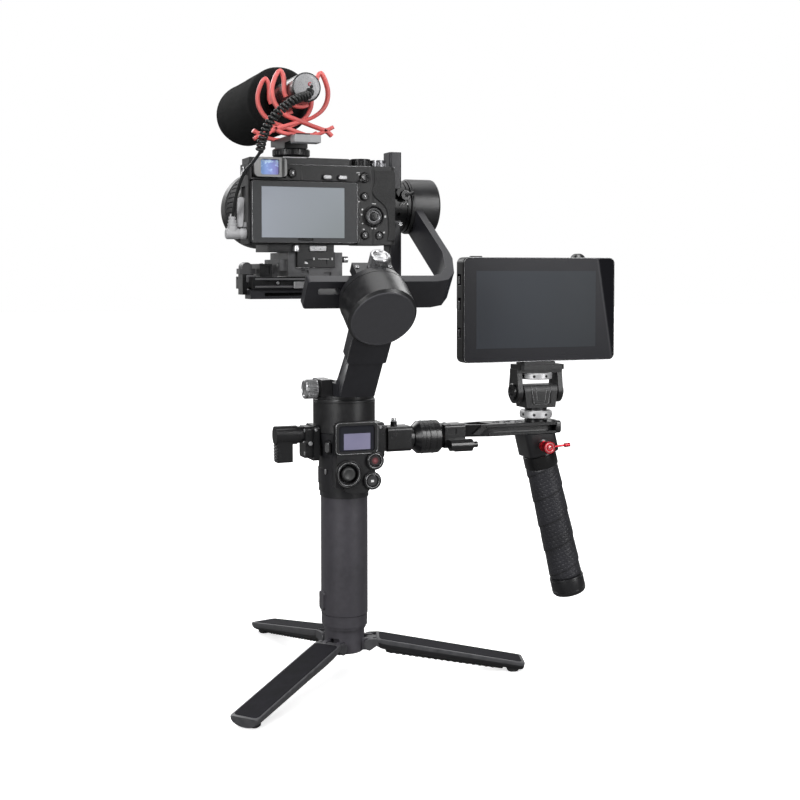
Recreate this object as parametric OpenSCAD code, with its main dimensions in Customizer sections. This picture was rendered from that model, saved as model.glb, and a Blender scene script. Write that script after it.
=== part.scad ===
// Handheld three-axis stabiliser rig: a mirrorless camera with an on-camera
// microphone on a gimbal, a side arm with a field monitor and a wrapped side
// handle, and a folding mini tripod under the main grip.
// Frame: X right, Y forward (the way the lens looks), Z up. The origin is the
// centre of the tripod hub's underside, on the pan axis.

/* [Tripod] */
// Radius of the tripod hub
hub_r = 15.5; // [14:0.5:17]
// Height of the tripod hub
hub_h = 19; // [17:1:19]
// Distance from the pan axis to the tip of a leg
leg_reach = 139; // [125:1:145]
// Width of a leg
leg_w = 23; // [22:1:26]
// Radius of the base screw hole (quarter inch thread)
base_hole_r = 3.175; // [2.5:0.005:3.5]

/* [Grip] */
// Width of the main grip
grip_w = 35; // [34:1:36]
// Depth of the main grip, front to back
grip_d = 39; // [38:1:42]
// Wall thickness of the grip shell
grip_wall = 2.4; // [1.6:0.1:2.4]
// Height of the top of the grip
grip_top = 121; // [110:1:125]

/* [Gimbal] */
// Outer radius of the pan motor
pan_r = 23.9; // [22:0.1:24.2]
// Underside of the pan motor
pan_z0 = 171; // [171:1:172]
// Top of the pan motor case
pan_z1 = 197; // [195:1:197]
// Height of the tilt axis
tilt_z = 346; // [346:1:346]
// Distance of the tilt axis in front of the pan axis
tilt_y = 31; // [31:1:31]
// Angle of the roll axis above the horizontal
roll_deg = 36; // [36:1:36]
// Outer radius of the roll motor
roll_r = 25.5; // [24:0.1:26]
// Outer radius of the tilt motor
tilt_r = 22; // [20:0.5:23]

/* [Camera] */
// Left side of the camera body
cam_x0 = -74; // [-76:1:-72]
// Right side of the camera body
cam_x1 = 43; // [41:1:43]
// Underside of the camera body
cam_z0 = 314.5; // [314.5:0.1:315]
// Depth of the camera body
cam_d = 35; // [33:1:37]
// Lens axis, left of the pan axis
lens_x = -34; // [-36:1:-32]
// Front rim radius of the lens
lens_r = 32.5; // [30:0.5:33]

/* [Microphone] */
// Height of the microphone axis
mic_z = 429; // [427:1:431]
// Microphone axis, left of the pan axis
mic_x = -37; // [-38:1:-35]
// Radius of the foam windscreen
foam_r = 26.5; // [24:0.5:27]

/* [Side arm] */
// Height of the side arm's twist axis
arm_z = 163; // [163:1:163]
// Lean of the side handle from the vertical
handle_lean = 14; // [10:1:16]
// Length of the side handle
handle_len = 138; // [120:1:145]

/* [Monitor] */
// Width of the monitor
mon_w = 136.7; // [130:0.1:137]
// Height of the monitor
mon_h = 84.5; // [80:0.5:88]
// Thickness of the monitor
mon_t = 18; // [16:0.5:22]

/* [Hidden] */
dark = "#2b2b2d";
black = "#1b1b1c";
grey = "#5a5a5c";
silver = "#bfbfc1";
red = "#c8424a";
mount_x = 165.6;     // axis of the monitor mount, right of the pan axis
quarter_r = 3.175;   // quarter inch screw holes
stud_r = 2.5;        // studs of the knobs and levers
stud_hole_r = 2.56;  // holes for those studs

// ---------- shared shapes ----------
// Box between two corners
module box(low, high) { translate(low) cube(high - low); }

// Cylinder along X; centre is [y, z]
module rod_x(start, end, centre, radius) {
  translate([start, centre[0], centre[1]]) rotate([0, 90, 0])
    cylinder(h = end-start, r = radius, $fn = 64);
}

// Cylinder or cone along Y; centre is [x, z]
module rod_y(start, end, centre, radius, end_radius = undef) {
  translate([centre[0], start, centre[1]]) rotate([-90, 0, 0])
    cylinder(h = end-start, r1 = radius, r2 = is_undef(end_radius) ? radius : end_radius, $fn = 64);
}

// Cylinder or cone along Z; centre is [x, y]
module rod_z(start, end, centre, radius, end_radius = undef) {
  translate([centre[0], centre[1], start])
    cylinder(h = end-start, r1 = radius, r2 = is_undef(end_radius) ? radius : end_radius, $fn = 64);
}

// Flat stadium, width across X and depth along Y
module stadium(width, depth) {
  union() {
    for (side = [1, -1]) translate([0, side*(depth-width)/2]) circle(d = width, $fn = 64);
    square([width, max(depth-width, 0.01)], center = true);
  }
}

// Stadium block standing on a given height
module stadium_block(bottom, height, width, depth) {
  translate([0, 0, bottom]) linear_extrude(height) stadium(width, depth);
}

// Rounded rectangle between two corners
module round_rect(left, bottom, right, top, radius) {
  union() {
    translate([left+radius, bottom]) square([right-left-2*radius, top-bottom]);
    translate([left, bottom+radius]) square([right-left, top-bottom-2*radius]);
    for (x = [left+radius, right-radius], y = [bottom+radius, top-radius])
      translate([x, y]) circle(r = radius, $fn = 48);
  }
}

// Plate standing in the XZ plane, between two Y values
module plate_xz(start, end) {
  translate([0, end, 0]) rotate([90, 0, 0]) linear_extrude(end-start) children();
}

// Plate standing in the YZ plane, between two X values
module plate_yz(start, end) {
  translate([start, 0, 0]) rotate([90, 0, 90]) linear_extrude(end-start) children();
}

// Solid of revolution about an X axis at [y, z]; profile is [radius, x]
module revolve_x(centre, profile) {
  translate([0, centre[0], centre[1]]) rotate([0, 90, 0]) rotate_extrude($fn = 64) polygon(profile);
}

// Ring of thin upright cylinders that cut the flutes of a knob or dial
module flutes(count, distance, height, radius) {
  for (i = [0:count-1]) rotate([0, 0, i*360/count]) translate([distance, 0, 0])
    cylinder(h = height, r = radius, $fn = 16);
}

// Fluted knob along +Z
module knob(height) {
  radius = 7.4;
  difference() {
    rotate_extrude($fn = 64)
      polygon([[0, 0], [radius-1, 0], [radius, 1], [radius, height-1.2], [radius-1.2, height],
        [radius-2.6, height], [radius-3.2, height-1], [0, height-1]]);
    translate([0, 0, 1.6]) flutes(30, radius+0.25, height-3.6, 0.7);
  }
}

// Eight radial holes around a lock ring
module radial_holes(distance, radius) {
  for (i = [0:7]) rotate([0, 0, i*45]) translate([distance, 0, 0]) rotate([0, 90, 0])
    cylinder(h = 4, r = radius, $fn = 24);
}

// ---------- tripod ----------
pin_reach = 19.5;  // distance of a leg pin from the pan axis
pin_z = 6;
leg_angles = [-18, 102, 222];
leg_tip_r = 10.5;  // corner radius of the leg tip, seen from above
slot_slope = 0.1565;  // fall of the sole slots per mm outward
tip_shift = leg_reach - 139;  // moves the outer outline points with the reach
// Side outline of a leg: [distance from the pan axis, z]
leg_outline = [
  [25, 10.8], [27, 11.2], [60, 6.2], [132+tip_shift, -5.0], [leg_reach, -8.6],
  [leg_reach-0.8, -12], [134+tip_shift, -18], [128+tip_shift, -18],
  [126+tip_shift, -14.8], [119+tip_shift, -14.6], [60, -5.2], [34, -1.4],
  [27.5, 1.6], [24.2, 6]];

// Cylinder across a leg, centred on its pin
module pin_rod(length, radius) {
  translate([pin_reach, length/2, pin_z]) rotate([90, 0, 0])
    cylinder(h = length, r = radius, $fn = 48);
}

module tripod_hub() {
  color(dark) difference() {
    union() {
      rotate_extrude($fn = 64)
        polygon([[0, 0], [hub_r-1.2, 0], [hub_r, 1.2], [hub_r, hub_h-0.6],
          [hub_r-0.6, hub_h-0.1], [0, hub_h-0.1]]);
      // pairs of ears that hold the legs
      for (angle = leg_angles) rotate([0, 0, angle]) for (side = [-1, 1])
        translate([0, side*5.9, 0]) rotate([90, 0, 0])
          translate([0, 0, -1.9]) linear_extrude(3.8) union() {
            translate([9, 1.5]) square([10.5, 9]);
            translate([pin_reach, pin_z]) circle(r = 4.5, $fn = 48);
          }
    }
    for (angle = leg_angles) rotate([0, 0, angle]) {
      pin_rod(18, 1.52);
      box([10.5, -4, 1], [30, 4, 12]);
    }
    rod_z(-1, 8, [0, 0], base_hole_r);
    rod_z(hub_h-4, hub_h+1, [0, 0], 3.3);
  }
}

module leg_pins() {
  color(silver) for (angle = leg_angles) rotate([0, 0, angle]) pin_rod(15.4, 1.5);
}

// Outline of a leg seen from above
module leg_plan() {
  union() {
    translate([24, -leg_w/2+2.5]) square([leg_reach-24-11, leg_w-5]);
    translate([26, -leg_w/2]) square([leg_reach-26-leg_tip_r, leg_w]);
    for (side = [-1, 1]) translate([leg_reach-leg_tip_r, side*(leg_w/2-leg_tip_r)])
      circle(r = leg_tip_r, $fn = 64);
    translate([leg_reach-2*leg_tip_r, -leg_w/2+leg_tip_r])
      square([2*leg_tip_r, leg_w-2*leg_tip_r]);
  }
}

// One leg, pointing along +X from its pin: a tapered body with a sole that
// is slotted across and drops to a foot at the tip
module leg(angle) {
  color(dark) rotate([0, 0, angle]) difference() {
    union() {
      intersection() {
        translate([0, leg_w/2, 0]) rotate([90, 0, 0]) linear_extrude(leg_w) polygon(leg_outline);
        linear_extrude(60, center = true) leg_plan();
      }
      // tongue between the hub's ears
      translate([0, 3.8, 0]) rotate([90, 0, 0]) linear_extrude(7.6) union() {
        translate([pin_reach, pin_z]) circle(r = 4, $fn = 48);
        translate([pin_reach, 2]) square([8, 8]);
      }
    }
    pin_rod(12, 1.56);
    for (i = [0:15]) translate([40+i*5, -leg_w/2-1, -4.2-i*5*slot_slope])
      rotate([0, 8.9, 0]) cube([2.2, leg_w+2, 1.6]);
  }
}
module leg_right() { leg(leg_angles[0]); }
module leg_front() { leg(leg_angles[1]); }
module leg_rear() { leg(leg_angles[2]); }

// ---------- grip ----------
grip_body_z = hub_h + 11.2;  // where the grip reaches its full section
// Collars at the foot of the grip: [bottom above the hub, height, added width and depth]
grip_collars = [[0, 2.2, -3], [2.2, 8.2, -0.8], [10.4, 0.8, -1.8]];

module grip_shell() {
  color(dark) difference() {
    union() {
      for (collar = grip_collars)
        stadium_block(hub_h+collar[0], collar[1], grip_w+collar[2], grip_d+collar[2]);
      stadium_block(grip_body_z, grip_top-grip_body_z, grip_w, grip_d);
      // release catch on the left flank
      plate_yz(-grip_w/2-1.4, -grip_w/2+1) round_rect(-5, 33, 5, 47, 2.5);
    }
    stadium_block(grip_body_z, grip_top, grip_w-2*grip_wall, grip_d-2*grip_wall);
    rod_z(hub_h-1, hub_h+9, [0, 0], quarter_r);
  }
}

module battery_cells() {
  bottom = grip_body_z + 0.6;
  top = bottom + 50;
  color("seagreen") for (side = [-1, 1]) union() {
    rod_z(bottom, top, [0, side*7.5], 7.2);
    rod_z(top, top+1.5, [0, side*7.5], 2.6);
  }
}

// ---------- head and its controls ----------
head_w = 41;
head_d = 46;
// Lower steps of the head: [bottom above the grip, height, added width, added depth]
head_steps = [[0.1, 4, 1.6, 1.6], [4.1, 6, 3.4, 2.6], [10.1, 12, 4.6, 3.6], [22.1, 10, 3, 3.6]];
// Centres of the rear controls, [x, z]
joystick = [-6.8, 142];
record = [14.4, 151];
mode = [12.2, 136];
// Round surrounds of the controls: [centre, outer radius, bore radius]
surrounds = [[joystick, 9.4, 7.4], [record, 5.9, 4.5], [mode, 5.9, 4.5]];
trigger_hinge = [15, 158.5];  // [y, z]

module head_shell() {
  color(dark) difference() {
    union() {
      for (step = head_steps)
        stadium_block(grip_top+step[0], step[1], grip_w+step[2], grip_d+step[3]);
      stadium_block(grip_top+32.1, pan_z0-grip_top-32.3, head_w, head_d);
      rod_z(pan_z0-10, pan_z0-0.2, [0, 0], 21.5, pan_r);
      // fairing that meets the control panel
      box([-15, -25.9, 131], [15, -16, 170]);
    }
    stadium_block(grip_top-1, pan_z0-grip_top-6, grip_w-6, grip_d-8);
    // opening for the trigger on the front
    box([-6.2, 12, 141], [6.2, 30, 161.5]);
    rod_x(-8, 8, trigger_hinge, 1.26);
    // sockets for the joystick and the two buttons
    rod_y(-40, -10, joystick, 6.6);
    rod_y(-40, -10, record, 3);
    rod_y(-40, -10, mode, 3);
  }
}

module panel_outline() { round_rect(-16.8, 156.6, 16.9, 180.6, 3.5); }
module display_recess() { round_rect(-14.2, 159, 14.3, 178.2, 2); }

module control_panel() {
  color(black) difference() {
    union() {
      plate_xz(-29.6, -26) union() {
        panel_outline();
        round_rect(-15.4, 140, 15, 160, 2);
        polygon([[-14.6, 142], [15.4, 142], [14, 133], [9, 127.5], [-3, 126], [-9, 129], [-14, 136]]);
      }
      // raised rim around the display
      plate_xz(-30.8, -29.5) difference() {
        panel_outline();
        display_recess();
      }
      for (ring = surrounds) rod_y(-31.6, -26, ring[0], ring[1]);
      plate_xz(-27, -26) round_rect(-17, 156, 17.1, 181, 3.5);
    }
    for (ring = surrounds) rod_y(-33, -25, ring[0], ring[2]);
    plate_xz(-30, -28.6) display_recess();
  }
}

module display_glass() {
  color("#6d6a86") plate_xz(-29.6, -28.65) round_rect(-14.1, 159.1, 14.2, 178.1, 1.9);
}

// The outer cradle rocks left and right, and the cap rocks up and down in it
module joystick_cradle() {
  color(grey) difference() {
    rod_y(-25.6, -22.8, joystick, 6.2);
    rod_y(-26, -22, joystick, 4.4);
  }
}

module joystick_cap() {
  color(black) union() {
    rod_y(-26.4, -22.4, joystick, 2);
    rod_y(-29.4, -26.4, joystick, 3);
    translate([joystick[0], -29.4, joystick[1]]) rotate([90, 0, 0]) rotate_extrude($fn = 64)
      polygon([[0, 0], [4.8, 0], [5.4, 0.8], [5.2, 2.2], [4.2, 3], [3.4, 2.8], [0, 2.2]]);
  }
}

// Button head and stem
module push_button(centre) {
  union() {
    rod_y(-31, -27, centre, 4.1, 4.3);
    rod_y(-27, -20, centre, 2.6);
  }
}
module record_button() { color("#5a2226") push_button(record); }
module mode_button() { color(black) push_button(mode); }

// Trigger on the front of the head, hinged at its top
module trigger() {
  color(black) union() {
    plate_yz(-5.6, 5.6)
      polygon([[13.2, 158.5], [15, 160.4], [20, 160], [25, 155], [29.5, 144], [28.4, 142.2],
        [25.2, 143], [21.5, 151], [15, 156]]);
    rod_x(-7.7, 7.7, trigger_hinge, 1.2);
  }
}

// ---------- side fittings on the head ----------
clamp_axis = [0, 169.5];  // axis of the left clamp's knob, [y, z]
arm_axis = [0, arm_z];

// Pad that lies against the side of the head
module clamp_pad(start, end) { plate_yz(start, end) round_rect(-11, 150, 11, 177, 3); }

// Room for the head inside the clamps
module head_clearance() {
  stadium_block(grip_top+32, 40, head_w+0.2, head_d+0.2);
  rod_z(pan_z0-10.1, pan_z0+20, [0, 0], pan_r+0.1);
}

module left_clamp() {
  color(black) difference() {
    union() {
      clamp_pad(-27.5, -23.2);
      plate_yz(-33.5, -27.5) round_rect(-8.5, 152, 8.5, 176, 3);
      rod_x(-38, -33.5, clamp_axis, 6.4);
    }
    for (z = [155.5, 173]) rod_x(-34, -30, [-5.8, z], 1.3);
    box([-34, -20, 163.2], [-29.5, 20, 165]);
    rod_x(-39, -30, clamp_axis, stud_hole_r);
    head_clearance();
  }
}

module clamp_knob() {
  color(black) union() {
    rod_x(-55.5, -38.2, clamp_axis, 7.2);
    rod_x(-38.2, -31, clamp_axis, stud_r);
    plate_yz(-54.5, -42.5) round_rect(-5.4, 149, 5.4, 166, 1.2);
  }
}

module side_clamp() {
  color(dark) difference() {
    union() {
      clamp_pad(23.2, 29.4);
      plate_yz(29.4, 33) round_rect(-7, 154, 7, 174, 2);
      plate_yz(33, 52.6) round_rect(-9.5, 153.5, 9.5, 173, 3);
      rod_x(52.6, 56, arm_axis, 8);
      rod_z(172.5, 176.4, [41, 0], 2.6);
    }
    rod_x(50, 57, arm_axis, 4.06);
    for (z = [156, 171]) rod_x(27, 30, [8.6, z], 1.2);
    rod_z(174.6, 177, [41, 0], 1.5);
    head_clearance();
  }
}

// ---------- pan motor ----------
pan_knob_axis = [-5, 204.5];  // [y, z]
pan_foot_z = pan_z1 + 2.9;    // underside of the pan arm's foot
pan_foot_top = 209.4;

module pan_motor_case() {
  color(dark) difference() {
    rotate_extrude($fn = 96)
      polygon([[0, pan_z0], [pan_r-0.2, pan_z0], [pan_r, pan_z0+1], [pan_r, pan_z1-1.2],
        [pan_r-0.6, pan_z1-0.4], [pan_r-0.6, pan_z1], [0, pan_z1]]);
    rod_z(pan_z0+8, pan_z1+1, [0, 0], 6.05);
  }
}

// Turning part of the pan motor, with the dovetail clamp that holds the arm
module pan_rotor() {
  color(dark) difference() {
    union() {
      rod_z(pan_z0+10, pan_z1+0.5, [0, 0], 6);
      rod_z(pan_z1+0.2, pan_z1+2.6, [0, 0], pan_r-0.7);
      box([-22.5, -15, pan_z1+2.4], [-14.2, 9, 210.5]);
      box([14.2, -15, pan_z1+2.4], [20, 9, 207]);
      box([-22.5, -15, 210.4], [-12.5, 9, 211.6]);
    }
    rod_x(-24, -13, pan_knob_axis, stud_hole_r);
    rod_z(pan_z1+1.4, 215, [-17.5, 5.5], 1.3);
  }
}

module pan_knob() {
  color(silver) union() {
    translate([-23.5, pan_knob_axis[0], pan_knob_axis[1]]) rotate([0, -90, 0]) knob(10.5);
    rod_x(-23.7, -14.6, pan_knob_axis, stud_r);
  }
}

// The roll frame: +Z along the roll axis, origin where it crosses the tilt axis
module roll_frame() {
  translate([0, tilt_y, tilt_z]) rotate([-(90-roll_deg), 0, 0]) children();
}

// Arm from the pan clamp up and back to the roll motor; its foot slides in the clamp
module pan_arm() {
  color(dark) union() {
    // foot
    box([-13.8, -27, pan_foot_z], [13.8, 10, pan_foot_top]);
    // rising part, square to the roll axis
    roll_frame() intersection() {
      union() {
        translate([-13.5, 16, -136.5]) cube([27, 65.5, 10.5]);
        translate([-15, 16, -138]) cube([30, 32, 13]);
      }
      translate([0, 0, -200]) linear_extrude(100) union() {
        round_rect(-15, 16, 15, 48, 2);
        round_rect(-13.5, 40, 13.5, 82.4, 2);
      }
    }
    // bend between the two
    plate_yz(-13.5, 13.5)
      polygon([[-22, pan_foot_z], [-29, pan_foot_z], [-33.2, 202], [-35.6, 206], [-33, 214],
        [-27, 216], [-20, pan_foot_top]]);
  }
}

// ---------- roll motor, all in the roll frame ----------
roll_knob_x = 2.5;
roll_knob_z = -109.6;
clamp_floor_z = -117.4;  // underside of the clamp for the roll arm
// Roll arm bent from its cross bar to the tilt motor, seen along Y: [x, z]
roll_arm_outline = [
  [-49, -114.6], [50, -114.6], [60, -112], [67.4, -103], [72.4, -85], [72.6, -77], [69, -12],
  [63, -12], [66.6, -76.5], [62, -97], [56.5, -104], [49, -106.9], [-49, -106.9]];

module roll_motor_case() {
  color(dark) roll_frame() difference() {
    union() {
      translate([0, 0, -147]) rotate_extrude($fn = 96)
        polygon([[0, 0.2], [21.8, 0.2], [22.2, 0], [23.2, 0.1], [roll_r, 2.6], [roll_r, 25.6],
          [roll_r-0.7, 26.4], [0, 26.4]]);
      // lock switch lump on the side
      rotate([0, 0, -40]) translate([-4, roll_r-1.5, -128]) cube([8, 4, 6]);
    }
    translate([0, 0, -134]) cylinder(h = 20, r = 6.05, $fn = 48);
    // seat for the pan arm
    translate([-15.1, 15.9, -138.1]) cube([30.2, 30, 13.3]);
  }
}

module roll_rotor() {
  color(dark) roll_frame() difference() {
    union() {
      translate([0, 0, -132]) cylinder(h = 14, r = 6, $fn = 48);
      translate([0, 0, -120.4]) cylinder(h = 3.2, r = roll_r-0.9, $fn = 96);
      // clamp that holds the cross bar of the roll arm
      translate([-15, -9.7, clamp_floor_z]) cube([30, 23.2, 2.2]);
      translate([-15, -18, clamp_floor_z]) cube([30, 7.8, 14.6]);
      translate([-15, 15.2, clamp_floor_z]) cube([30, 5, 14.6]);
    }
    translate([roll_knob_x, -20, roll_knob_z]) rotate([-90, 0, 0])
      cylinder(h = 12, r = stud_hole_r, $fn = 48);
  }
}

module roll_knob() {
  color(silver) roll_frame() union() {
    translate([roll_knob_x, -18.4, roll_knob_z]) rotate([90, 0, 0]) knob(11.5);
    translate([roll_knob_x, -18.6, roll_knob_z]) rotate([-90, 0, 0])
      cylinder(h = 7, r = stud_r, $fn = 48);
  }
}

// Cross bar and outer arm to the tilt motor, one bent casting
module roll_arm() {
  color(dark) difference() {
    roll_frame() difference() {
      intersection() {
        translate([0, 14.6, 0]) rotate([90, 0, 0]) linear_extrude(24.2) polygon(roll_arm_outline);
        translate([0, 0, -130]) linear_extrude(125) round_rect(-49, -9.6, 92, 14.6, 2.4);
      }
      translate([-40, -1, -120]) linear_extrude(20) round_rect(0, -2.6, 16, 3, 2);
    }
    rod_x(55, 90, tilt_axis, tilt_r+0.02);
  }
}

// ---------- tilt motor ----------
tilt_axis = [tilt_y, tilt_z];
arm_bottom = 272.8;  // underside of the camera arm

module tilt_motor_case() {
  color(dark) difference() {
    revolve_x(tilt_axis, [[0, 60.6], [tilt_r-0.8, 60.6], [tilt_r-0.8, 61.6], [tilt_r, 62.2],
      [tilt_r, 83], [tilt_r-0.5, 84.6], [tilt_r-2.6, 85.6], [0, 85.6]]);
    rod_x(60, 76, tilt_axis, 5.05);
  }
}

// Turning part of the tilt motor: a ring with a channel the upright rail slides in
module tilt_rotor() {
  color(dark) difference() {
    union() {
      revolve_x(tilt_axis, [[0, 44], [19.4, 44], [20.2, 44.8], [20.2, 57], [20.8, 57.4],
        [20.8, 59.8], [20, 60.3], [0, 60.3]]);
      rod_x(60, 74, tilt_axis, 5);
      // rail lock lever boss
      rod_y(8, 16, [50, 356], 3.4);
    }
    box([40, 14.8, 300], [53.8, 31.2, 390]);
    box([40, 31, 300], [46, 60, 390]);
    rod_y(5, 16, [50, 339], 1.25);
  }
}

// Upright rail and the bar under the camera
module camera_arm() {
  color(dark) difference() {
    union() {
      translate([0, 0, arm_bottom]) linear_extrude(115.2) round_rect(43.7, 15, 53.6, 31, 1.6);
      box([-71, 10, arm_bottom], [50, 27, 280]);
      box([30, 12, 279.8], [43.8, 29, 283]);
    }
    plate_xz(5, 40) round_rect(-60, 275, 30, 277.6, 1.2);
    box([52.8, 21, 284], [55, 25, 384]);
  }
}

// ---------- camera supports ----------
qr_axis = [30, 303];       // axis of the quick release lever, [y, z]
camera_screw = [-21, 20];  // [x, y]

module base_block() {
  color(dark) difference() {
    union() {
      box([-70, 8, 280.2], [8, 60, 289.8]);
      box([-74.6, 20, 276], [-71.2, 34, 292]);
      box([-74.6, 20, 280.3], [-66, 34, 292]);
      box([-66, 27.2, 276.4], [8, 34, 280.4]);
      box([-62.6, 14, 289.6], [-52.7, 58, 299.6]);
      box([-52.9, 16, 289.6], [-48.4, 58, 294]);
      // cam lever of the cross slide
      box([-76.4, 22, 291.8], [-64, 32, 296]);
      rod_y(22, 34, [-70.5, 297], 3.8);
    }
    rod_z(279, 300, [-57.6, 53], 2.1);
    box([-58, 12, 292], [-54.6, 15, 297.6]);
    box([-62, 6, 283.4], [-2, 9, 286.4]);
  }
}

// Channel with a jaw on each side, and a pad along its left side
module qr_clamp() {
  color(grey) difference() {
    union() {
      box([-42.4, 6.5, 290], [1, 58, 296.6]);
      box([-42.4, 6.5, 296.4], [-36.2, 58, 308.4]);
      box([-5.2, 6.5, 296.4], [1, 58, 308.4]);
      box([-48.2, 10, 294.2], [-42.2, 54, 303]);
    }
    box([-32, 6, 292.2], [-26, 8, 294.6]);
    box([-14, 6, 289.9], [-8, 8, 293.2]);
    rod_x(-5.5, 2, qr_axis, stud_hole_r);
    for (y = [15, 45]) rod_x(-49, -46, [y, 298.5], 1.4);
  }
}

module qr_lever() {
  color(silver) union() {
    rod_x(1.3, 7, qr_axis, 4.6);
    rod_x(-4.6, 1.3, qr_axis, stud_r);
    plate_yz(3, 6.4) round_rect(8, 300.6, 30, 305.4, 2.2);
  }
}

module camera_plate() {
  color(grey) difference() {
    union() {
      box([-35.7, 4, 296.9], [-5.7, 62, 308.6]);
      box([-59, 4, 308.7], [-6.5, 40, 314.3]);
      box([-36, 4, 308.5], [-6.5, 62, 311]);
    }
    rod_z(296, 301, camera_screw, 5);
    rod_z(296, 316, camera_screw, 3.2);
    for (y = [32, 50]) rod_z(296, 300.4, [camera_screw[0], y], 1.6);
    box([-30, 3, 299.6], [-12, 5, 303]);
  }
}

// ---------- camera ----------
lens_axis = [lens_x, 345.5];    // [x, z]
wheel_centre = [24.1, 336.3];   // [x, z]
mode_dial_centre = [18.5, 14];  // [x, y], as the next two
rear_dial_centre = [32.5, 13];
shutter_centre = [33, 38];
// Rear button sockets: [x, z, radius]
button_sockets = [[-13.3, 365.5, 2.4], [-1, 365.5, 2.4], [16.8, 366, 3.4], [16.8, 351.5, 2.6],
  [17, 321.6, 2.6], [28.6, 321.6, 2.6], [-41.3, 367.8, 2.8]];

module camera_body() {
  color(black) difference() {
    union() {
      // main body, with a thicker hand grip at the right
      translate([0, 0, cam_z0]) linear_extrude(60.5) union() {
        round_rect(cam_x0, 0, cam_x1, cam_d-3, 5);
        round_rect(cam_x1-24, -1.2, cam_x1, cam_d+14, 6);
      }
      translate([0, 0, cam_z0+60.4]) linear_extrude(4.6)
        round_rect(cam_x0+1, 1, 8, cam_d-5, 4.5);
      // lens throat
      rod_y(cam_d-4, cam_d+3, lens_axis, 30.5, 29.6);
      // hot shoe rails
      box([mic_x-9.6, 6.5, cam_z0+64.9], [mic_x+9.6, 25.5, cam_z0+65.5]);
      // strap lug
      box([cam_x0-2.6, 6, 366], [cam_x0+1, 8, 372]);
    }
    // recess that the folding screen sits in
    box([-73.2, -3, 314], [11.2, 5.2, 362.6]);
    rod_y(-2, 4.6, wheel_centre, 7.5);
    // wells for the dials and the shutter button
    rod_z(cam_z0+55.4, 400, mode_dial_centre, 8.6);
    rod_z(cam_z0+55.4, 400, rear_dial_centre, 7);
    rod_z(cam_z0+58.4, 400, shutter_centre, 5.6);
    // recess around the viewfinder
    box([-72, -1, 364], [-46, 3, 380]);
    rod_z(cam_z0-1, cam_z0+5, camera_screw, quarter_r);
    // left side ports
    for (z = [324, 337, 350]) box([cam_x0-1, 12, z], [cam_x0+1.4, 24, z+8]);
    rod_y(cam_d-8, cam_d+20, lens_axis, 24);
    for (socket = button_sockets) rod_y(-2, 1.2, socket, socket[2]);
  }
}

module eyepiece() {
  color(grey) difference() {
    plate_xz(-6, 2.8) round_rect(-71.4, 364.2, -46.4, 379, 3.5);
    plate_xz(-7, 0) round_rect(-66.6, 366, -52.2, 377.4, 1.5);
    plate_xz(-6.6, -5.2) round_rect(-50.6, 366.5, -48.4, 376.5, 1);
  }
}

// Viewfinder window and the front lens element
module camera_optics() {
  color("#5b86c8") plate_xz(-3, -0.1) round_rect(-66.5, 366.1, -52.3, 377.3, 1.4);
  color("#20303a") intersection() {
    rod_y(112, 122, lens_axis, 24.9);
    translate([lens_axis[0], 62, lens_axis[1]]) sphere(r = 60, $fn = 96);
  }
}

module rear_buttons() {
  color(black)
    for (socket = button_sockets) rod_y(-1.8, 1.1, socket, socket[2]-0.3, socket[2]-0.1);
}

module lens_barrel() {
  color(black) difference() {
    translate([lens_axis[0], 38.2, lens_axis[1]]) rotate([-90, 0, 0]) rotate_extrude($fn = 96)
      polygon([[20, 0], [29.5, 0], [30.6, 1.5], [30.6, 11], [27.6, 12.2], [27.6, 29], [31.6, 31],
        [31.6, 38], [28.6, 39], [28.6, 70], [31.2, 72], [lens_r, 74], [lens_r, 88.6],
        [lens_r-1.2, 89], [29.5, 89], [28, 84], [25.2, 80], [25.2, 74], [20, 70]]);
    rod_y(30, 36, lens_axis, 10);
  }
}

// Fluted ring around the lens, from one Y to another
module lens_ring(start, end, radius, bore, flute_count, flute_start, flute_len, flute_r) {
  difference() {
    rod_y(start, end, lens_axis, radius);
    rod_y(start-1, end+1, lens_axis, bore);
    translate([lens_axis[0], flute_start, lens_axis[1]]) rotate([-90, 0, 0])
      flutes(flute_count, radius+0.2, flute_len, flute_r);
  }
}

module zoom_ring() {
  color(black) lens_ring(start = 51.4, end = 66.8, radius = 31.4, bore = 27.66,
    flute_count = 36, flute_start = 53, flute_len = 12, flute_r = 1);
}

module focus_ring() {
  color(black) lens_ring(start = 77.6, end = 107.8, radius = 32.2, bore = 28.66,
    flute_count = 48, flute_start = 80, flute_len = 25, flute_r = 0.9);
}

module lcd_screen() {
  color(dark) difference() {
    plate_xz(-2.4, 3.6) round_rect(-72.6, 315.4, 10.6, 361.8, 1.6);
    plate_xz(-3, -2.1) round_rect(-65.2, 319.4, -0.2, 357.4, 0.4);
  }
}

// Fluted dial on the camera's top
module dial(centre, height, radius, flute_len, flute_r) {
  difference() {
    rod_z(cam_z0+56, cam_z0+56+height, centre, radius);
    translate([centre[0], centre[1], cam_z0+57]) flutes(24, radius+0.2, flute_len, flute_r);
  }
}

module mode_dial() {
  color(black)
    dial(mode_dial_centre, height = 10.6, radius = 7.8, flute_len = 8, flute_r = 0.6);
}

module rear_dial() {
  color(silver)
    dial(rear_dial_centre, height = 10, radius = 6.2, flute_len = 7, flute_r = 0.55);
}

module shutter_button() {
  color(silver) union() {
    rod_z(cam_z0+59.8, cam_z0+62.4, shutter_centre, 4.6);
    rod_z(cam_z0+62.4, cam_z0+63.2, shutter_centre, 4.6, 3.8);
  }
}

module control_wheel() {
  color(silver) translate([wheel_centre[0], 4.4, wheel_centre[1]]) rotate([90, 0, 0])
    rotate_extrude($fn = 64)
      polygon([[0, 0], [7, 0], [7.1, 5.2], [6.4, 6.4], [5, 6.4], [4.4, 5.8], [3.6, 5.8],
        [3, 6.6], [0, 6.8]]);
}

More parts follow.
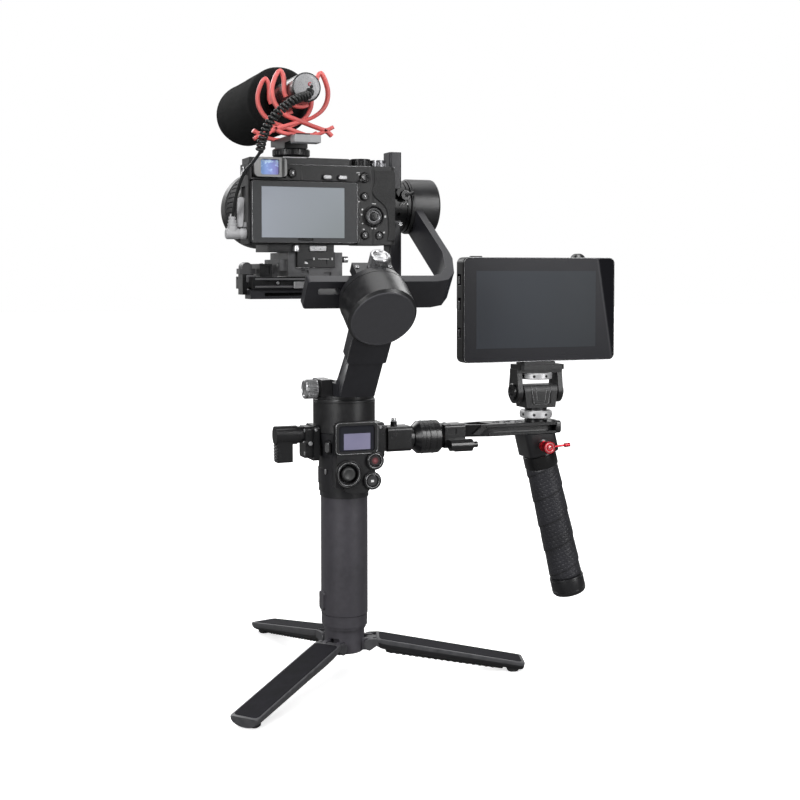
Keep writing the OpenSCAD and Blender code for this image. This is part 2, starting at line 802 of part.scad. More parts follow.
// ---------- microphone ----------
mic_axis = [mic_x, mic_z];
lyre_bore = 11.3;  // radius of the opening the tube passes through
// Centre lines of the lead, [x, y, z]: its coil, then its straight tail
coil_points = [[-35.9, -30, 422.6], [-45.3, -36, 419.6], [-53, -39.5, 415.5], [-62.4, -40, 408],
  [-69.4, -38, 399], [-72.6, -33, 388.5], [-72.9, -26, 378]];
tail_points = [[-72.9, -26, 378], [-81, -14, 367], [-84.2, -4, 354], [-84.9, 4, 338],
  [-84.8, 8, 331.5]];

module mic_base() {
  color(black) translate([mic_x, 16, 0]) difference() {
    union() {
      // shoe foot, lock ring and base block
      box([-8.8, -8.5, 380.1], [8.8, 8.5, 381.7]);
      translate([0, 0, 381.5]) rotate_extrude($fn = 64)
        polygon([[0, 0], [13.6, 0], [14.4, 0.8], [14.4, 4.8], [13.6, 5.6], [0, 5.6]]);
      box([-9, -14, 387], [9, 14, 391]);
      box([-9, -30, 390.8], [9, 26, 395.4]);
    }
    translate([0, 0, 382.4]) flutes(30, 14.7, 3.8, 0.7);
    box([-4, -26, 389], [4, -18, 396]);
  }
}

// Open hoop on a forked foot
module lyre_outline() {
  difference() {
    union() {
      translate(mic_axis) circle(r = 21.4, $fn = 64);
      polygon([[mic_x-15, 395.6], [mic_x+15, 395.6], [mic_x+10, 414], [mic_x-10, 414]]);
    }
    translate(mic_axis) circle(r = 18.6, $fn = 64);
    translate([mic_x-12, mic_z+8]) square([24, 30]);
    translate([mic_x-6, 398.4]) square([12, 9]);
  }
}

// Two springy yokes that carry the tube
module mic_lyres() {
  color(red) for (y = [-9, 33]) difference() {
    union() {
      plate_xz(y-2.5, y+2.5) lyre_outline();
      for (side = [-1, 1]) plate_xz(y-2.5, y+2.5) translate(mic_axis) rotate(side*128)
        translate([-1.3, lyre_bore]) square([2.6, 8.6]);
    }
    rod_y(y-10, y+10, mic_axis, lyre_bore);
  }
}

module mic_tube() {
  color(black) difference() {
    translate([mic_x, -26, mic_z]) rotate([-90, 0, 0]) rotate_extrude($fn = 64)
      polygon([[0, 0.6], [9.8, 0.6], [10.2, 0], [11, 0.6], [11, 66.4], [9.4, 68], [9.4, 172],
        [8.6, 174], [0, 174]]);
    rod_y(-27, -20, [mic_x+1.5, mic_z-5], 1.8);
  }
}

// Bored windscreen with a domed front end
module mic_foam() {
  color("#161616") translate([mic_x, 41, mic_z]) rotate([-90, 0, 0]) difference() {
    rotate_extrude($fn = 64) union() {
      polygon([[0, 0], [foam_r-7, 0], [foam_r-2.5, 2], [foam_r, 7], [foam_r, 109.5], [0, 109.5]]);
      intersection() {
        translate([0, 109]) circle(r = foam_r, $fn = 96);
        translate([0, 108.5]) square([foam_r+1, foam_r+2]);
      }
    }
    translate([0, 0, -0.5]) cylinder(h = 113, r = 11.2, $fn = 48);
  }
}

// Round cable through a list of points, with a ball at each point but the first
module cable_run(points, radius) {
  for (i = [0:len(points)-2]) {
    span = points[i+1] - points[i];
    length = norm(span);
    translate(points[i]) rotate([0, acos(span[2]/length), atan2(span[1], span[0])])
      cylinder(h = length, r = radius, $fn = 24);
    translate(points[i+1]) sphere(r = radius, $fn = 24);
  }
}

// Microphone lead: the envelope of its coil, its straight tail and its plug
module mic_cable() {
  color(black) cable_run(coil_points, 3.6);
  color(black) cable_run(tail_points, 1.2);
  color(silver) {
    box([-88, 5, 325], [-81.5, 12, 332]);
    box([-90, 4.5, 317.6], [-74.3, 12.5, 326]);
  }
}

// ---------- side arm ----------
clamp_screw_axis = [-11.5, 156.5];  // boss beside the arm clamp, [y, z]
lever_axis = [-1, -8.5];            // red lever in the handle frame, [x, z]
wrap_bottom = 15.2 - handle_len;    // lower end of the wrap, in the handle frame

module lock_drum() {
  color(black) union() {
    revolve_x(arm_axis, [[0, 56.2], [9, 56.2], [13, 60.6], [13, 67.2], [12.7, 67.5],
      [13, 67.8], [13, 77], [9.5, 81], [0, 81]]);
    rod_x(51, 56.4, arm_axis, 4);
  }
}

module arm_clamp() {
  color(black) difference() {
    union() {
      plate_yz(81.2, 98.6) round_rect(-9, 154, 9, 172.6, 2);
      plate_yz(88, 103) round_rect(-14, 151.5, -8.5, 161, 1.5);
      rod_x(84, 103, clamp_screw_axis, 4.4);
      rod_x(103, 107.6, clamp_screw_axis, 2.4);
    }
    // socket for the cheese plate's tongue
    box([93, -6.1, 160.8], [105, 20, 172]);
    for (y = [-5, 5]) rod_z(170, 173, [86, y], 1.4);
    box([84, -9.6, 165], [91, -8, 169]);
  }
}

module cheese_plate() {
  color(dark) difference() {
    union() {
      translate([0, 0, 162]) linear_extrude(9.6) union() {
        polygon([[100, -6], [118, -11], [168, -11], [168, 13], [118, 13], [100, 9]]);
        translate([168, 1]) circle(r = 12, $fn = 64);
      }
      box([94, -5.8, 162], [101, 8.8, 171.6]);
      rod_z(171.4, 173.2, [mount_x, 0], 9.4);
    }
    // side groove
    box([122, -12, 165.2], [172, -9.6, 168.2]);
    // lightening pocket
    translate([0, 0, 164]) linear_extrude(9)
      polygon([[104, -3.2], [116, -7.4], [122, -7.4], [118, 9.4], [104, 6]]);
    // top holes
    for (x = [130, 140, 150]) rod_z(160, 173, [x, 1], base_hole_r);
    for (x = [135, 145], y = [-6, 8]) rod_z(160, 173, [x, y], 1.7);
    rod_z(160, 174, [mount_x, 0], 3.16);
  }
}

// Frame of the side handle: +Z up its axis, origin at its top
module handle_frame() {
  translate([mount_x-1, 0, 161]) rotate([0, -handle_lean, 0]) children();
}

module handle_core() {
  color(dark) difference() {
    union() {
      // rounded block at the top, cut level under the cheese plate
      intersection() {
        handle_frame() translate([0, 0, -28]) linear_extrude(40)
          round_rect(-13.5, -13.5, 13.5, 13.5, 7);
        box([100, -30, 100], [220, 30, 162]);
      }
      handle_frame() translate([0, 0, -handle_len]) rotate_extrude($fn = 64)
        polygon([[0, 0], [11.6, 0], [13.8, 1.8], [14, 14.8], [12.2, 15],
          [12.2, handle_len-28.2], [0, handle_len-28.2]]);
    }
    handle_frame() rod_y(-14, -5, lever_axis, stud_hole_r);
  }
}

module handle_wrap() {
  color(black) handle_frame() difference() {
    translate([0, 0, wrap_bottom]) cylinder(h = -28.4-wrap_bottom, r = 13.4, $fn = 96);
    translate([0, 0, -handle_len+10]) cylinder(h = handle_len, r = 12.25, $fn = 96);
  }
}

module red_lever() {
  color(red) handle_frame() union() {
    rod_y(-13.4, -6, lever_axis, stud_r);
    rod_y(-20, -13.8, lever_axis, 4);
    rod_y(-24.6, -20, lever_axis, 4.9);
    translate([lever_axis[0], -22.4, lever_axis[1]]) rotate([0, 100, 0])
      cylinder(h = 15, r = 0.9, $fn = 32);
    translate([lever_axis[0], -22.4, lever_axis[1]]) rotate([0, 100, 0])
      translate([0, 0, 14.6]) cylinder(h = 4.6, r = 1.7, $fn = 32);
  }
}

// ---------- monitor mount and monitor ----------
mount_pin = [0, 196];  // the monitor's tilt pin, [y, z]
pin_height = mount_pin[1];
mon_left = mount_x - mon_w/2;
mon_z0 = 220.7;        // underside of the monitor
mon_back = mon_t - 8;  // forward face of the case; the screen faces rearward

// Swivel base: lock ring, stud and the block that carries the tilt pin
module mount_yoke() {
  color(dark) difference() {
    union() {
      rod_z(163, 174, [mount_x, 0], 3.1);
      translate([mount_x, 0, 174.4]) rotate_extrude($fn = 64)
        polygon([[0, -1], [7, -1], [7, 0], [11.6, 0], [12.3, 0.7], [12.3, 5.7], [11.6, 6.4], [0, 6.4]]);
      rod_z(180.6, 183.4, [mount_x, 0], 9);
      // flared block, rounded over the pin
      intersection() {
        plate_xz(-10, 10)
          polygon([[mount_x-13, 183.2], [mount_x+13, 183.2],
            [mount_x+15.4, 201.6], [mount_x-15.4, 201.6]]);
        union() {
          rod_x(140, 190, mount_pin, 9.6);
          box([140, -9.6, 183.2], [190, 9.6, pin_height]);
        }
      }
      rod_x(mount_x-20.6, mount_x+20.6, mount_pin, 3.2);
    }
    translate([mount_x, 0, 177.6]) radial_holes(10.2, 1.1);
    translate([mount_x, 0, 0]) plate_xz(-10.2, -9) difference() {
      round_rect(-9, 186, 9, 197, 1);
      round_rect(-7.8, 187.2, 7.8, 199, 1);
    }
  }
}

module mount_bracket() {
  color(dark) difference() {
    union() {
      // cheeks on both sides of the yoke
      for (start = [-20.4, 16]) translate([mount_x, 0, 0]) plate_yz(start, start+4.4) union() {
        translate(mount_pin) circle(r = 9.4, $fn = 64);
        polygon([[-9.2, pin_height], [9.2, pin_height], [6.6, 213], [-6.6, 213]]);
      }
      box([mount_x-20.4, -7, 211.4], [mount_x+20.4, 7, 214.4]);
      translate([mount_x, 0, 206.2]) rotate_extrude($fn = 64)
        polygon([[0, 0], [10.8, 0], [11.5, 0.7], [11.5, 4.6], [10.8, 5.3], [0, 5.3]]);
      translate([0, 0, 214.2]) linear_extrude(4) round_rect(mount_x-19, -11, mount_x+21, 11, 3);
      rod_z(218, 226, [mount_x, 1], 3.1);
      box([mount_x-14, -7, 218.1], [mount_x+14, 8, 220.5]);
    }
    translate([mount_x, 0, 208.8]) radial_holes(9.6, 1);
    rod_x(mount_x-30, mount_x+30, mount_pin, 3.26);
  }
}

// Slab with the monitor's outline, drawn in by an inset
module monitor_slab(start, end, inset, radius) {
  translate([mon_left, 0, mon_z0]) plate_xz(start, end)
    round_rect(inset, inset, mon_w-inset, mon_h-inset, radius);
}

module monitor_shell() {
  mon_top = mon_z0 + mon_h;
  color(black) difference() {
    union() {
      monitor_slab(-6.4, mon_back-4, 0, 5);
      monitor_slab(mon_back-4.1, mon_back, 3, 6);
      // battery plate and cooling block on the back
      translate([mount_x, 0, mon_z0]) plate_xz(mon_back-0.1, mon_back+4)
        round_rect(-35, 14, 35, mon_h-14, 4);
      // record wheel and power bar on the top edge
      intersection() {
        rod_y(-3, 3, [mount_x+38, mon_top-3], 6.2);
        box([100, -9, mon_top-3], [260, 20, 400]);
      }
      box([mount_x-59, -3, mon_top-1], [mount_x-50, 2, mon_top+1]);
    }
    rod_z(219, 227, [mount_x, 1], 3.2);
    // left side ports: [bottom above the underside, height]
    for (port = [[20, 8], [42, 10], [62, 9]])
      translate([mon_left, 0, mon_z0+port[0]]) box([-1, -2, 0], [5, 4, port[1]]);
    // cooling slots
    for (i = [0:6]) translate([mount_x-24+i*8, 0, mon_z0+24])
      box([0, mon_back+1.6, 0], [3.4, 40, 36]);
    monitor_slab(-7, -5.4, 4, 3);
  }
}

module monitor_glass() {
  color("#15181c") union() {
    monitor_slab(-8, -6.45, 0.3, 4.7);
    monitor_slab(-6.5, -5.5, 4.1, 2.9);
  }
}

tripod_hub();
leg_pins();
leg_right();
leg_front();
leg_rear();
grip_shell();
battery_cells();
head_shell();
control_panel();
display_glass();
joystick_cradle();
joystick_cap();
record_button();
mode_button();
trigger();
left_clamp();
clamp_knob();
side_clamp();
pan_motor_case();
pan_rotor();
pan_knob();
pan_arm();
roll_motor_case();
roll_rotor();
roll_knob();
roll_arm();
tilt_motor_case();
tilt_rotor();
camera_arm();
base_block();
qr_clamp();
qr_lever();
camera_plate();
camera_body();
eyepiece();
camera_optics();
rear_buttons();
lens_barrel();
zoom_ring();
focus_ring();
lcd_screen();
mode_dial();
rear_dial();
shutter_button();
control_wheel();
mic_base();
mic_lyres();
mic_tube();
mic_foam();
mic_cable();
lock_drum();
arm_clamp();
cheese_plate();
handle_core();
handle_wrap();
red_lever();
mount_yoke();
mount_bracket();
monitor_shell();
monitor_glass();
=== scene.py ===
"""A hand-held three-axis gimbal on a small tripod, with a camera, microphone, side handle and monitor.

The grip stands on the z axis above the tripod. The lens and microphone point along +y, and the
operator stands at -y, so "rear" means -y. The side arm, handle and monitor reach out along +x.
Shapes are given in millimetres and turned into metres; shaders and studio work in metres.
"""
import random
from math import cos, exp, hypot, pi, radians, sin, tau

import bmesh
import bpy
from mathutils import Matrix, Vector, noise as solid_noise


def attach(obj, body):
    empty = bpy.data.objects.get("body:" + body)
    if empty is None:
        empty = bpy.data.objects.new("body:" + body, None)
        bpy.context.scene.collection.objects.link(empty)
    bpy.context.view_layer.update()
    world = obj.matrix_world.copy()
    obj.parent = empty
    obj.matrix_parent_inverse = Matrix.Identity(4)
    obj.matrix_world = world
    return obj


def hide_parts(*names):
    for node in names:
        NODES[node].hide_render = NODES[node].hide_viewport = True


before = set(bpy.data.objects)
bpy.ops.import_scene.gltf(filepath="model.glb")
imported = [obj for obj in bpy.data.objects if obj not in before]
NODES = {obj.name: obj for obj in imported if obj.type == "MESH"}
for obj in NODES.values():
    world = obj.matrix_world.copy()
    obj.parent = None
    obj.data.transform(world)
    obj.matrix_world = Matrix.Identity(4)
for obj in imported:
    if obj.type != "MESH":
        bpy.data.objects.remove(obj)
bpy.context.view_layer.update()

MM = 0.001
scene = bpy.context.scene
random.seed(7)

X, Y, Z = Vector((1, 0, 0)), Vector((0, 1, 0)), Vector((0, 0, 1))

# Roll frame of the gimbal: s runs along the roll axis, y down and forward, x across
ROLL_TILT = radians(36)
ROLL_AXIS = Vector((0, cos(ROLL_TILT), sin(ROLL_TILT)))
ROLL_DOWN = Vector((0, sin(ROLL_TILT), -cos(ROLL_TILT)))
ROLL_ORIGIN = Vector((0, 31, 346))

# Side handle frame: z runs up the leaning handle
HANDLE_TILT = radians(14)
HANDLE_UP = Vector((-sin(HANDLE_TILT), 0, cos(HANDLE_TILT)))
HANDLE_ACROSS = Vector((cos(HANDLE_TILT), 0, sin(HANDLE_TILT)))
HANDLE_ORIGIN = Vector((164.6, 0, 161))

# Tape on the handle, in the handle frame; the lap is the turn at which the free edge starts
TAPE_LOW, TAPE_HIGH = -122.6, -27.4
TAPE_PITCH = 21.5
TAPE_LAP = 0.35

MIC_X, MIC_Z = -37, 429
MONITOR_X = 165.6


def roll_point(x, y, s):
    return ROLL_ORIGIN + X * x + ROLL_DOWN * y + ROLL_AXIS * s


def handle_point(x, y, z):
    return HANDLE_ORIGIN + HANDLE_ACROSS * x + Y * y + HANDLE_UP * z


# ---------------------------------------------------------------- shader nodes
def feed(tree, socket, value):
    """Link a socket or set a plain value; colours are given without alpha."""
    if isinstance(value, bpy.types.NodeSocket):
        tree.links.new(value, socket)
    elif socket.type == "RGBA":
        socket.default_value = (*value, 1)
    elif value is not None:
        socket.default_value = value


def add_node(tree, kind, inputs=None, **settings):
    node = tree.nodes.new("ShaderNode" + kind)
    for key, value in settings.items():
        setattr(node, key, value)
    for key, value in (inputs or {}).items():
        feed(tree, node.inputs[key], value)
    return node


def grey(level, blue=None):
    return (level, level, blue or level)


def scaled(colour, factor, lift=0.0):
    return tuple(min(1, channel * factor + lift) for channel in colour)


class Mat:
    """A Principled material written as expressions over the object's own coordinates."""
    INPUTS = {"base": "Base Color", "rough": "Roughness", "metal": "Metallic",
              "normal": "Normal", "coat": "Coat Weight", "coat_rough": "Coat Roughness",
              "spec": "Specular IOR Level", "sheen_rough": "Sheen Roughness",
              "sss": "Subsurface Weight", "sss_radius": "Subsurface Radius",
              "sss_scale": "Subsurface Scale", "emit": "Emission Color",
              "emit_strength": "Emission Strength"}

    def __init__(self, name):
        self.material = bpy.data.materials.new(name)
        self.material.use_nodes = True
        self.tree = self.material.node_tree
        self.tree.nodes.clear()
        self.bsdf = self.node("BsdfPrincipled")
        self.output = self.node("OutputMaterial", {0: self.bsdf.outputs[0]})
        self.place = self.node("TexCoord").outputs["Object"]

    def node(self, kind, inputs=None, **settings):
        return add_node(self.tree, kind, inputs, **settings)

    def xyz(self, source=None):
        return self.node("SeparateXYZ", {0: source or self.place}).outputs

    def math(self, operation, first, second=None):
        inputs = {0: first} if second is None else {0: first, 1: second}
        return self.node("Math", inputs, operation=operation).outputs[0]

    def add(self, first, second):
        return self.math("ADD", first, second)

    def sub(self, first, second):
        return self.math("SUBTRACT", first, second)

    def mul(self, first, second):
        return self.math("MULTIPLY", first, second)

    def above(self, value, limit):
        return self.math("GREATER_THAN", value, limit)

    def below(self, value, limit):
        return self.math("LESS_THAN", value, limit)

    def invert(self, value):
        return self.sub(1.0, value)

    def between(self, value, low, high):
        return self.mul(self.above(value, low), self.below(value, high))

    def window(self, x, z, x_span, z_span):
        """Mask of a rectangle in x and z."""
        return self.mul(self.between(x, *x_span), self.between(z, *z_span))

    def ramp(self, value, start, end, low=0, high=1, **settings):
        inputs = dict(enumerate((value, start, end, low, high)))
        return self.node("MapRange", inputs, **settings).outputs[0]

    def step(self, value, start, end):
        return self.ramp(value, start, end, interpolation_type="SMOOTHSTEP")

    def spread(self, value, low=0, high=1):
        """Stretch the usual span of a noise, 0.3 to 0.7, over low to high."""
        return self.ramp(value, 0.3, 0.7, low, high)

    def repeat(self, value, rate, start, end):
        """Step that starts again each time value * rate passes a whole number."""
        return self.step(self.math("FRACT", self.mul(value, rate)), start, end)

    def dist(self, *pairs):
        """Distance to a line or point, from (coordinate, centre) pairs."""
        total = None
        for coordinate, centre in pairs:
            offset = self.sub(coordinate, centre)
            square = self.mul(offset, offset)
            total = square if total is None else self.add(total, square)
        return self.math("SQRT", total)

    def bearing(self, rise, run):
        """Angle round a centre, from two (coordinate, centre) pairs."""
        return self.math("ARCTAN2", self.sub(*rise), self.sub(*run))

    def noise(self, scale, detail=3, rough=0.55, vector=None):
        inputs = {"Vector": vector or self.place, "Scale": scale,
                  "Detail": detail, "Roughness": rough}
        return self.node("TexNoise", inputs).outputs[0]

    def cloud(self, scale):
        return self.noise(scale, detail=4)

    def grain(self, scale):
        return self.noise(scale, detail=2)

    def streaks(self, stretch, detail=2, rough=0.6):
        """Noise squeezed along each axis by the stretch, for turned or brushed lines."""
        vector = self.node("Mapping", {0: self.place, "Scale": stretch}).outputs[0]
        return self.noise(1.0, detail, rough, vector)

    def cells(self, scale):
        inputs = {"Vector": self.place, "Scale": scale}
        return self.node("TexVoronoi", inputs).outputs["Distance"]

    def mix(self, mask, first, second):
        return self.node("Mix", {0: mask, 6: first, 7: second}, data_type="RGBA").outputs[2]

    def mix_value(self, mask, first, second):
        return self.node("Mix", {0: mask, 2: first, 3: second}, data_type="FLOAT").outputs[0]

    def tone(self, texture, dark, light):
        return self.mix(self.spread(texture), dark, light)

    def bump(self, height, strength, depth=0.0001, under=None):
        inputs = {"Strength": strength, "Distance": depth, "Height": height}
        if under is not None:
            inputs["Normal"] = under
        return self.node("Bump", inputs).outputs[0]

    def put(self, **values):
        for key, value in values.items():
            feed(self.tree, self.bsdf.inputs[self.INPUTS[key]], value)
        return self.material


# ---------------------------------------------------------------- shared finishes
def satin(name, colour, rough, grain=3800, strength=0.12, metal=0.0, spec=0.5):
    """Satin coat: fine grain, cloudy gloss, faint colour drift and dust."""
    mat = Mat(name)
    big = mat.noise(22, detail=4, rough=0.6)
    mid = mat.noise(160, detail=4, rough=0.6)
    fine = mat.noise(grain, detail=2, rough=0.6)
    drift = mat.add(mat.mul(big, 0.6), mat.mul(mid, 0.4))
    base = mat.tone(drift, dark=scaled(colour, 0.75), light=scaled(colour, 1.25))
    dust = mat.step(mat.noise(900, detail=2, rough=0.5), start=0.66, end=0.8)
    base = mat.mix(mat.mul(dust, 0.10), base, scaled(colour, 1.8, lift=0.006))
    gloss = mat.spread(mid, low=rough - 0.015, high=rough + 0.025)
    gloss = mat.add(gloss, mat.mul(mat.sub(fine, 0.5), 0.05))
    return mat.put(base=base, rough=gloss, metal=metal, spec=spec,
                   normal=mat.bump(fine, strength * 0.6, depth=0.00006))


def brushed(name, colour, rough, stretch):
    """Bare metal with fine lines, packed tightly along the most stretched axis."""
    mat = Mat(name)
    lines = mat.streaks(stretch, detail=3, rough=0.7)
    cloud = mat.noise(140, rough=0.6)
    blend = mat.add(mat.mul(lines, 0.5), mat.mul(cloud, 0.5))
    base = mat.tone(blend, dark=scaled(colour, 0.78), light=scaled(colour, 1.1))
    gloss = mat.spread(lines, low=rough - 0.07, high=rough + 0.1)
    return mat.put(base=base, rough=mat.add(gloss, mat.mul(cloud, 0.06)), metal=1.0,
                   normal=mat.bump(lines, strength=0.18, depth=0.00006))


def plain(name, colour, rough, scale=700, strength=0.1):
    """Even colour with slight clouds; the grain drives gloss and relief."""
    mat = Mat(name)
    grain = mat.noise(scale)
    base = mat.tone(mat.noise(60), dark=scaled(colour, 0.82), light=scaled(colour, 1.15))
    return mat.put(base=base, rough=mat.spread(grain, low=rough - 0.04, high=rough + 0.05),
                   normal=mat.bump(grain, strength, depth=0.00008))


def two_tone(name, dark, light, cloud, rough, grain=None, strength=0.12, depth=0.0001,
             stretch=False, **values):
    """Two colours blended by a cloud; relief comes from the grain, or from the cloud without one.

    cloud and grain are (scale, detail); rough is a value, or a (low, high) that follows the cloud.
    """
    mat = Mat(name)
    cloud = mat.noise(*cloud)
    grain = mat.noise(*grain) if grain else cloud
    if isinstance(rough, tuple):
        rough = mat.spread(cloud, *rough)
    blend = mat.spread(cloud) if stretch else cloud
    return mat.put(base=mat.mix(blend, dark, light), rough=rough,
                   normal=mat.bump(grain, strength, depth), **values)


GIMBAL = satin("satin_gimbal", grey(0.018, 0.020), rough=0.34)
ARM = satin("satin_arm", grey(0.021, 0.025), rough=0.36)
BLACK = satin("satin_black", grey(0.006, 0.0065), rough=0.28, grain=3000, strength=0.10)
ANODISED = satin("anodised_black", grey(0.006, 0.0068), rough=0.25, grain=5200,
                 strength=0.14, spec=0.75)
PLASTIC = satin("moulded_plastic", grey(0.010, 0.011), rough=0.38, grain=1700, strength=0.18)
HANDLE = satin("handle_satin", grey(0.013, 0.0145), rough=0.36, grain=3400, strength=0.14)
GREY = satin("grey_anodised", grey(0.13, 0.135), rough=0.34, grain=4200, strength=0.14,
             metal=0.3)
SILVER = brushed("turned_silver", grey(0.80, 0.81), rough=0.30, stretch=(60, 60, 2600))
STEEL = brushed("brushed_steel", grey(0.62, 0.63), rough=0.26, stretch=(2600, 60, 60))
RUBBER = plain("soft_rubber", grey(0.016, 0.017), rough=0.72, scale=1500, strength=0.3)
WHITE_MARK = plain("printed_mark", grey(0.62), rough=0.5, scale=1800)
BRIGHT = two_tone("bright_hardware", dark=grey(0.50, 0.51), light=grey(0.64, 0.65),
                  cloud=(600, 3), rough=(0.26, 0.38), metal=0.9, grain=(3000, 2))
# bright metal for painted highlight lines along edges and rims, and for real screws, keys and ports
EDGE = two_tone("painted_edge_highlights_and_metal", dark=grey(0.24, 0.245), light=grey(0.34, 0.345),
                cloud=(600, 3), rough=0.26, metal=0.85, strength=0.08)


# ---------------------------------------------------------------- shape helpers
def rounded(box, radius, steps=6):
    """Rounded rectangle from box (x0, y0, x1, y1)."""
    x0, y0, x1, y1 = box
    corners = ((x1 - radius, y1 - radius, 0), (x0 + radius, y1 - radius, 90),
               (x0 + radius, y0 + radius, 180), (x1 - radius, y0 + radius, 270))
    points = []
    for x, y, start in corners:
        for k in range(steps + 1):
            turn = radians(start + 90 * k / steps)
            points.append((x + radius * cos(turn), y + radius * sin(turn)))
    return points


def inset(outline, amount):
    """The outline moved inwards by amount."""
    count = len(outline)
    pairs = [(outline[i], outline[(i + 1) % count]) for i in range(count)]
    area = sum(a[0] * b[1] - b[0] * a[1] for a, b in pairs)
    sign = 1 if area > 0 else -1
    result = []
    for i in range(count):
        point = Vector(outline[i])
        before = (point - Vector(outline[i - 1])).normalized()
        after = (Vector(outline[(i + 1) % count]) - point).normalized()
        normal = Vector((-before.y, before.x)) * sign
        middle = normal + Vector((-after.y, after.x)) * sign
        length = middle.length
        middle = middle / length if length > 1e-6 else normal
        result.append(tuple(point + middle * (amount / max(0.4, middle.dot(normal)))))
    return result


def circle(center, radius, count, across=X, up=Z):
    return [Vector(center) + across * (radius * cos(tau * k / count))
            + up * (radius * sin(tau * k / count)) for k in range(count)]


def smooth_path(points, per_span):
    """Catmull-Rom curve through the points."""
    points = [Vector(point) for point in points]
    last = len(points) - 1
    path = []
    for i in range(last):
        a, b, c, d = points[max(i - 1, 0)], points[i], points[i + 1], points[min(i + 2, last)]
        for k in range(per_span):
            t = k / per_span
            path.append(0.5 * ((2 * b) + (c - a) * t + (2 * a - 5 * b + 4 * c - d) * t * t
                               + (3 * b - a - 3 * c + d) * t ** 3))
    return path + [points[-1].copy()]


class Geo:
    """Gathers the verts (given in mm) and faces of one object made of several closed solids."""

    def __init__(self):
        self.verts, self.faces, self.slots = [], [], []
        self.slot = 0

    def ring(self, points):
        start = len(self.verts)
        self.verts += [Vector(point) * MM for point in points]
        return list(range(start, len(self.verts)))

    def face(self, indices):
        self.faces.append(indices)
        self.slots.append(self.slot)

    def bridge(self, rings):
        for low, high in zip(rings, rings[1:]):
            for k in range(len(low)):
                after = (k + 1) % len(low)
                corners = list(dict.fromkeys((low[k], low[after], high[after], high[k])))
                if len(corners) >= 3:
                    self.face(corners)

    def cap(self, rings):
        self.face(list(reversed(rings[0])))
        self.face(rings[-1])

    def solid(self, rings):
        self.bridge(rings)
        self.cap(rings)

    def lathe(self, origin, axis, profile, count=48, up=Z, ripple=None):
        """Turned solid; profile holds (radius, height along the axis)."""
        axis = Vector(axis).normalized()
        if abs(axis.dot(up)) > 0.98:
            up = Y
        side = up.cross(axis).normalized()
        other = axis.cross(side)
        rings = []
        for radius, height in profile:
            center = Vector(origin) + axis * height
            if radius <= 1e-6:
                rings.append(self.ring([center]) * count)
                continue
            points = []
            for k in range(count):
                turn = tau * k / count
                reach = ripple(radius, height, turn) if ripple else radius
                points.append(center + side * (reach * cos(turn)) + other * (reach * sin(turn)))
            rings.append(self.ring(points))
        self.bridge(rings)

    def tube(self, points, radius, sides=10, closed=False, section=None, up=None):
        """Sweep a round or given section along points; radius may be a list."""
        points = [Vector(point) for point in points]
        count = len(points)
        along = (points[1] - points[0]).normalized()
        start = Z if abs(along.z) < 0.9 else X
        normal = (start - along * start.dot(along)).normalized()
        if section is None:
            section = [(cos(tau * k / sides), sin(tau * k / sides)) for k in range(sides)]
        rings = []
        for i, point in enumerate(points):
            if closed:
                along = (points[(i + 1) % count] - points[i - 1]).normalized()
            else:
                along = (points[min(i + 1, count - 1)] - points[max(i - 1, 0)]).normalized()
            guide = normal if up is None else up
            normal = (guide - along * guide.dot(along)).normalized()
            other = along.cross(normal)
            size = radius[i] if isinstance(radius, list) else radius
            rings.append(self.ring([point + normal * (size * a) + other * (size * b)
                                    for a, b in section]))
        if closed:
            self.bridge(rings + [rings[0]])
        else:
            self.solid(rings)

    def hoop(self, center, radius, wire, count, sides=8, across=X, up=Z):
        self.tube(circle(center, radius, count, across, up), wire, sides, closed=True)

    def prism(self, outline, origin, depth, chamfer=0.0, across=X, up=Z):
        """Push an outline in the across-up plane along across x up (-y if not given)."""
        across, up = Vector(across).normalized(), Vector(up).normalized()
        push = across.cross(up)
        layers = [(outline, chamfer), (outline, depth - chamfer)]
        if chamfer:
            small = inset(outline, chamfer)
            layers = [(small, 0), *layers, (small, depth)]
        self.solid([self.ring([Vector(origin) + across * a + up * b + push * height
                               for a, b in points]) for points, height in layers])

    def plate(self, box, radius, origin, depth, chamfer=0.0, across=X, up=Z, steps=6):
        """Prism with a rounded rectangle as outline."""
        self.prism(rounded(box, radius, steps), origin, depth, chamfer, across, up)

    def screw(self, origin, axis, radius, height):
        """Round head with a round socket sunk in it."""
        floor = height - 0.45
        self.lathe(origin, axis, [(0, -0.4), (radius, -0.4), (radius, height - 0.25),
                                  (radius - 0.25, height), (radius * 0.52, height),
                                  (radius * 0.5, floor), (0, floor)], 20)

    def build(self, name, mat, body, slot, replaces=None, angle=35, smooth=True):
        """Make the object; mat may be a list that the face slots index."""
        mesh = bpy.data.meshes.new(name)
        mesh.from_pydata([tuple(vert) for vert in self.verts], [],
                         [tuple(face) for face in self.faces])
        mesh.validate()
        work = bmesh.new()
        work.from_mesh(mesh)
        bmesh.ops.recalc_face_normals(work, faces=work.faces)
        work.to_mesh(mesh)
        work.free()
        obj = bpy.data.objects.new(name, mesh)
        scene.collection.objects.link(obj)
        if isinstance(mat, list):
            for each in mat:
                mesh.materials.append(each)
            mesh.polygons.foreach_set("material_index", self.slots)
        else:
            mesh.materials.append(mat)
        if smooth:
            mesh.shade_smooth()
            mesh.set_sharp_from_angle(angle=radians(angle))
        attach(obj, body)
        if replaces:
            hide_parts(replaces)


# ---------------------------------------------------------------- CAD parts: rounded edges, clean shading
def new_group(name):
    group = bpy.data.node_groups.new(name, "GeometryNodeTree")
    for side in ("INPUT", "OUTPUT"):
        group.interface.new_socket("Geometry", in_out=side, socket_type="NodeSocketGeometry")
    return group, group.nodes.new("NodeGroupInput"), group.nodes.new("NodeGroupOutput")


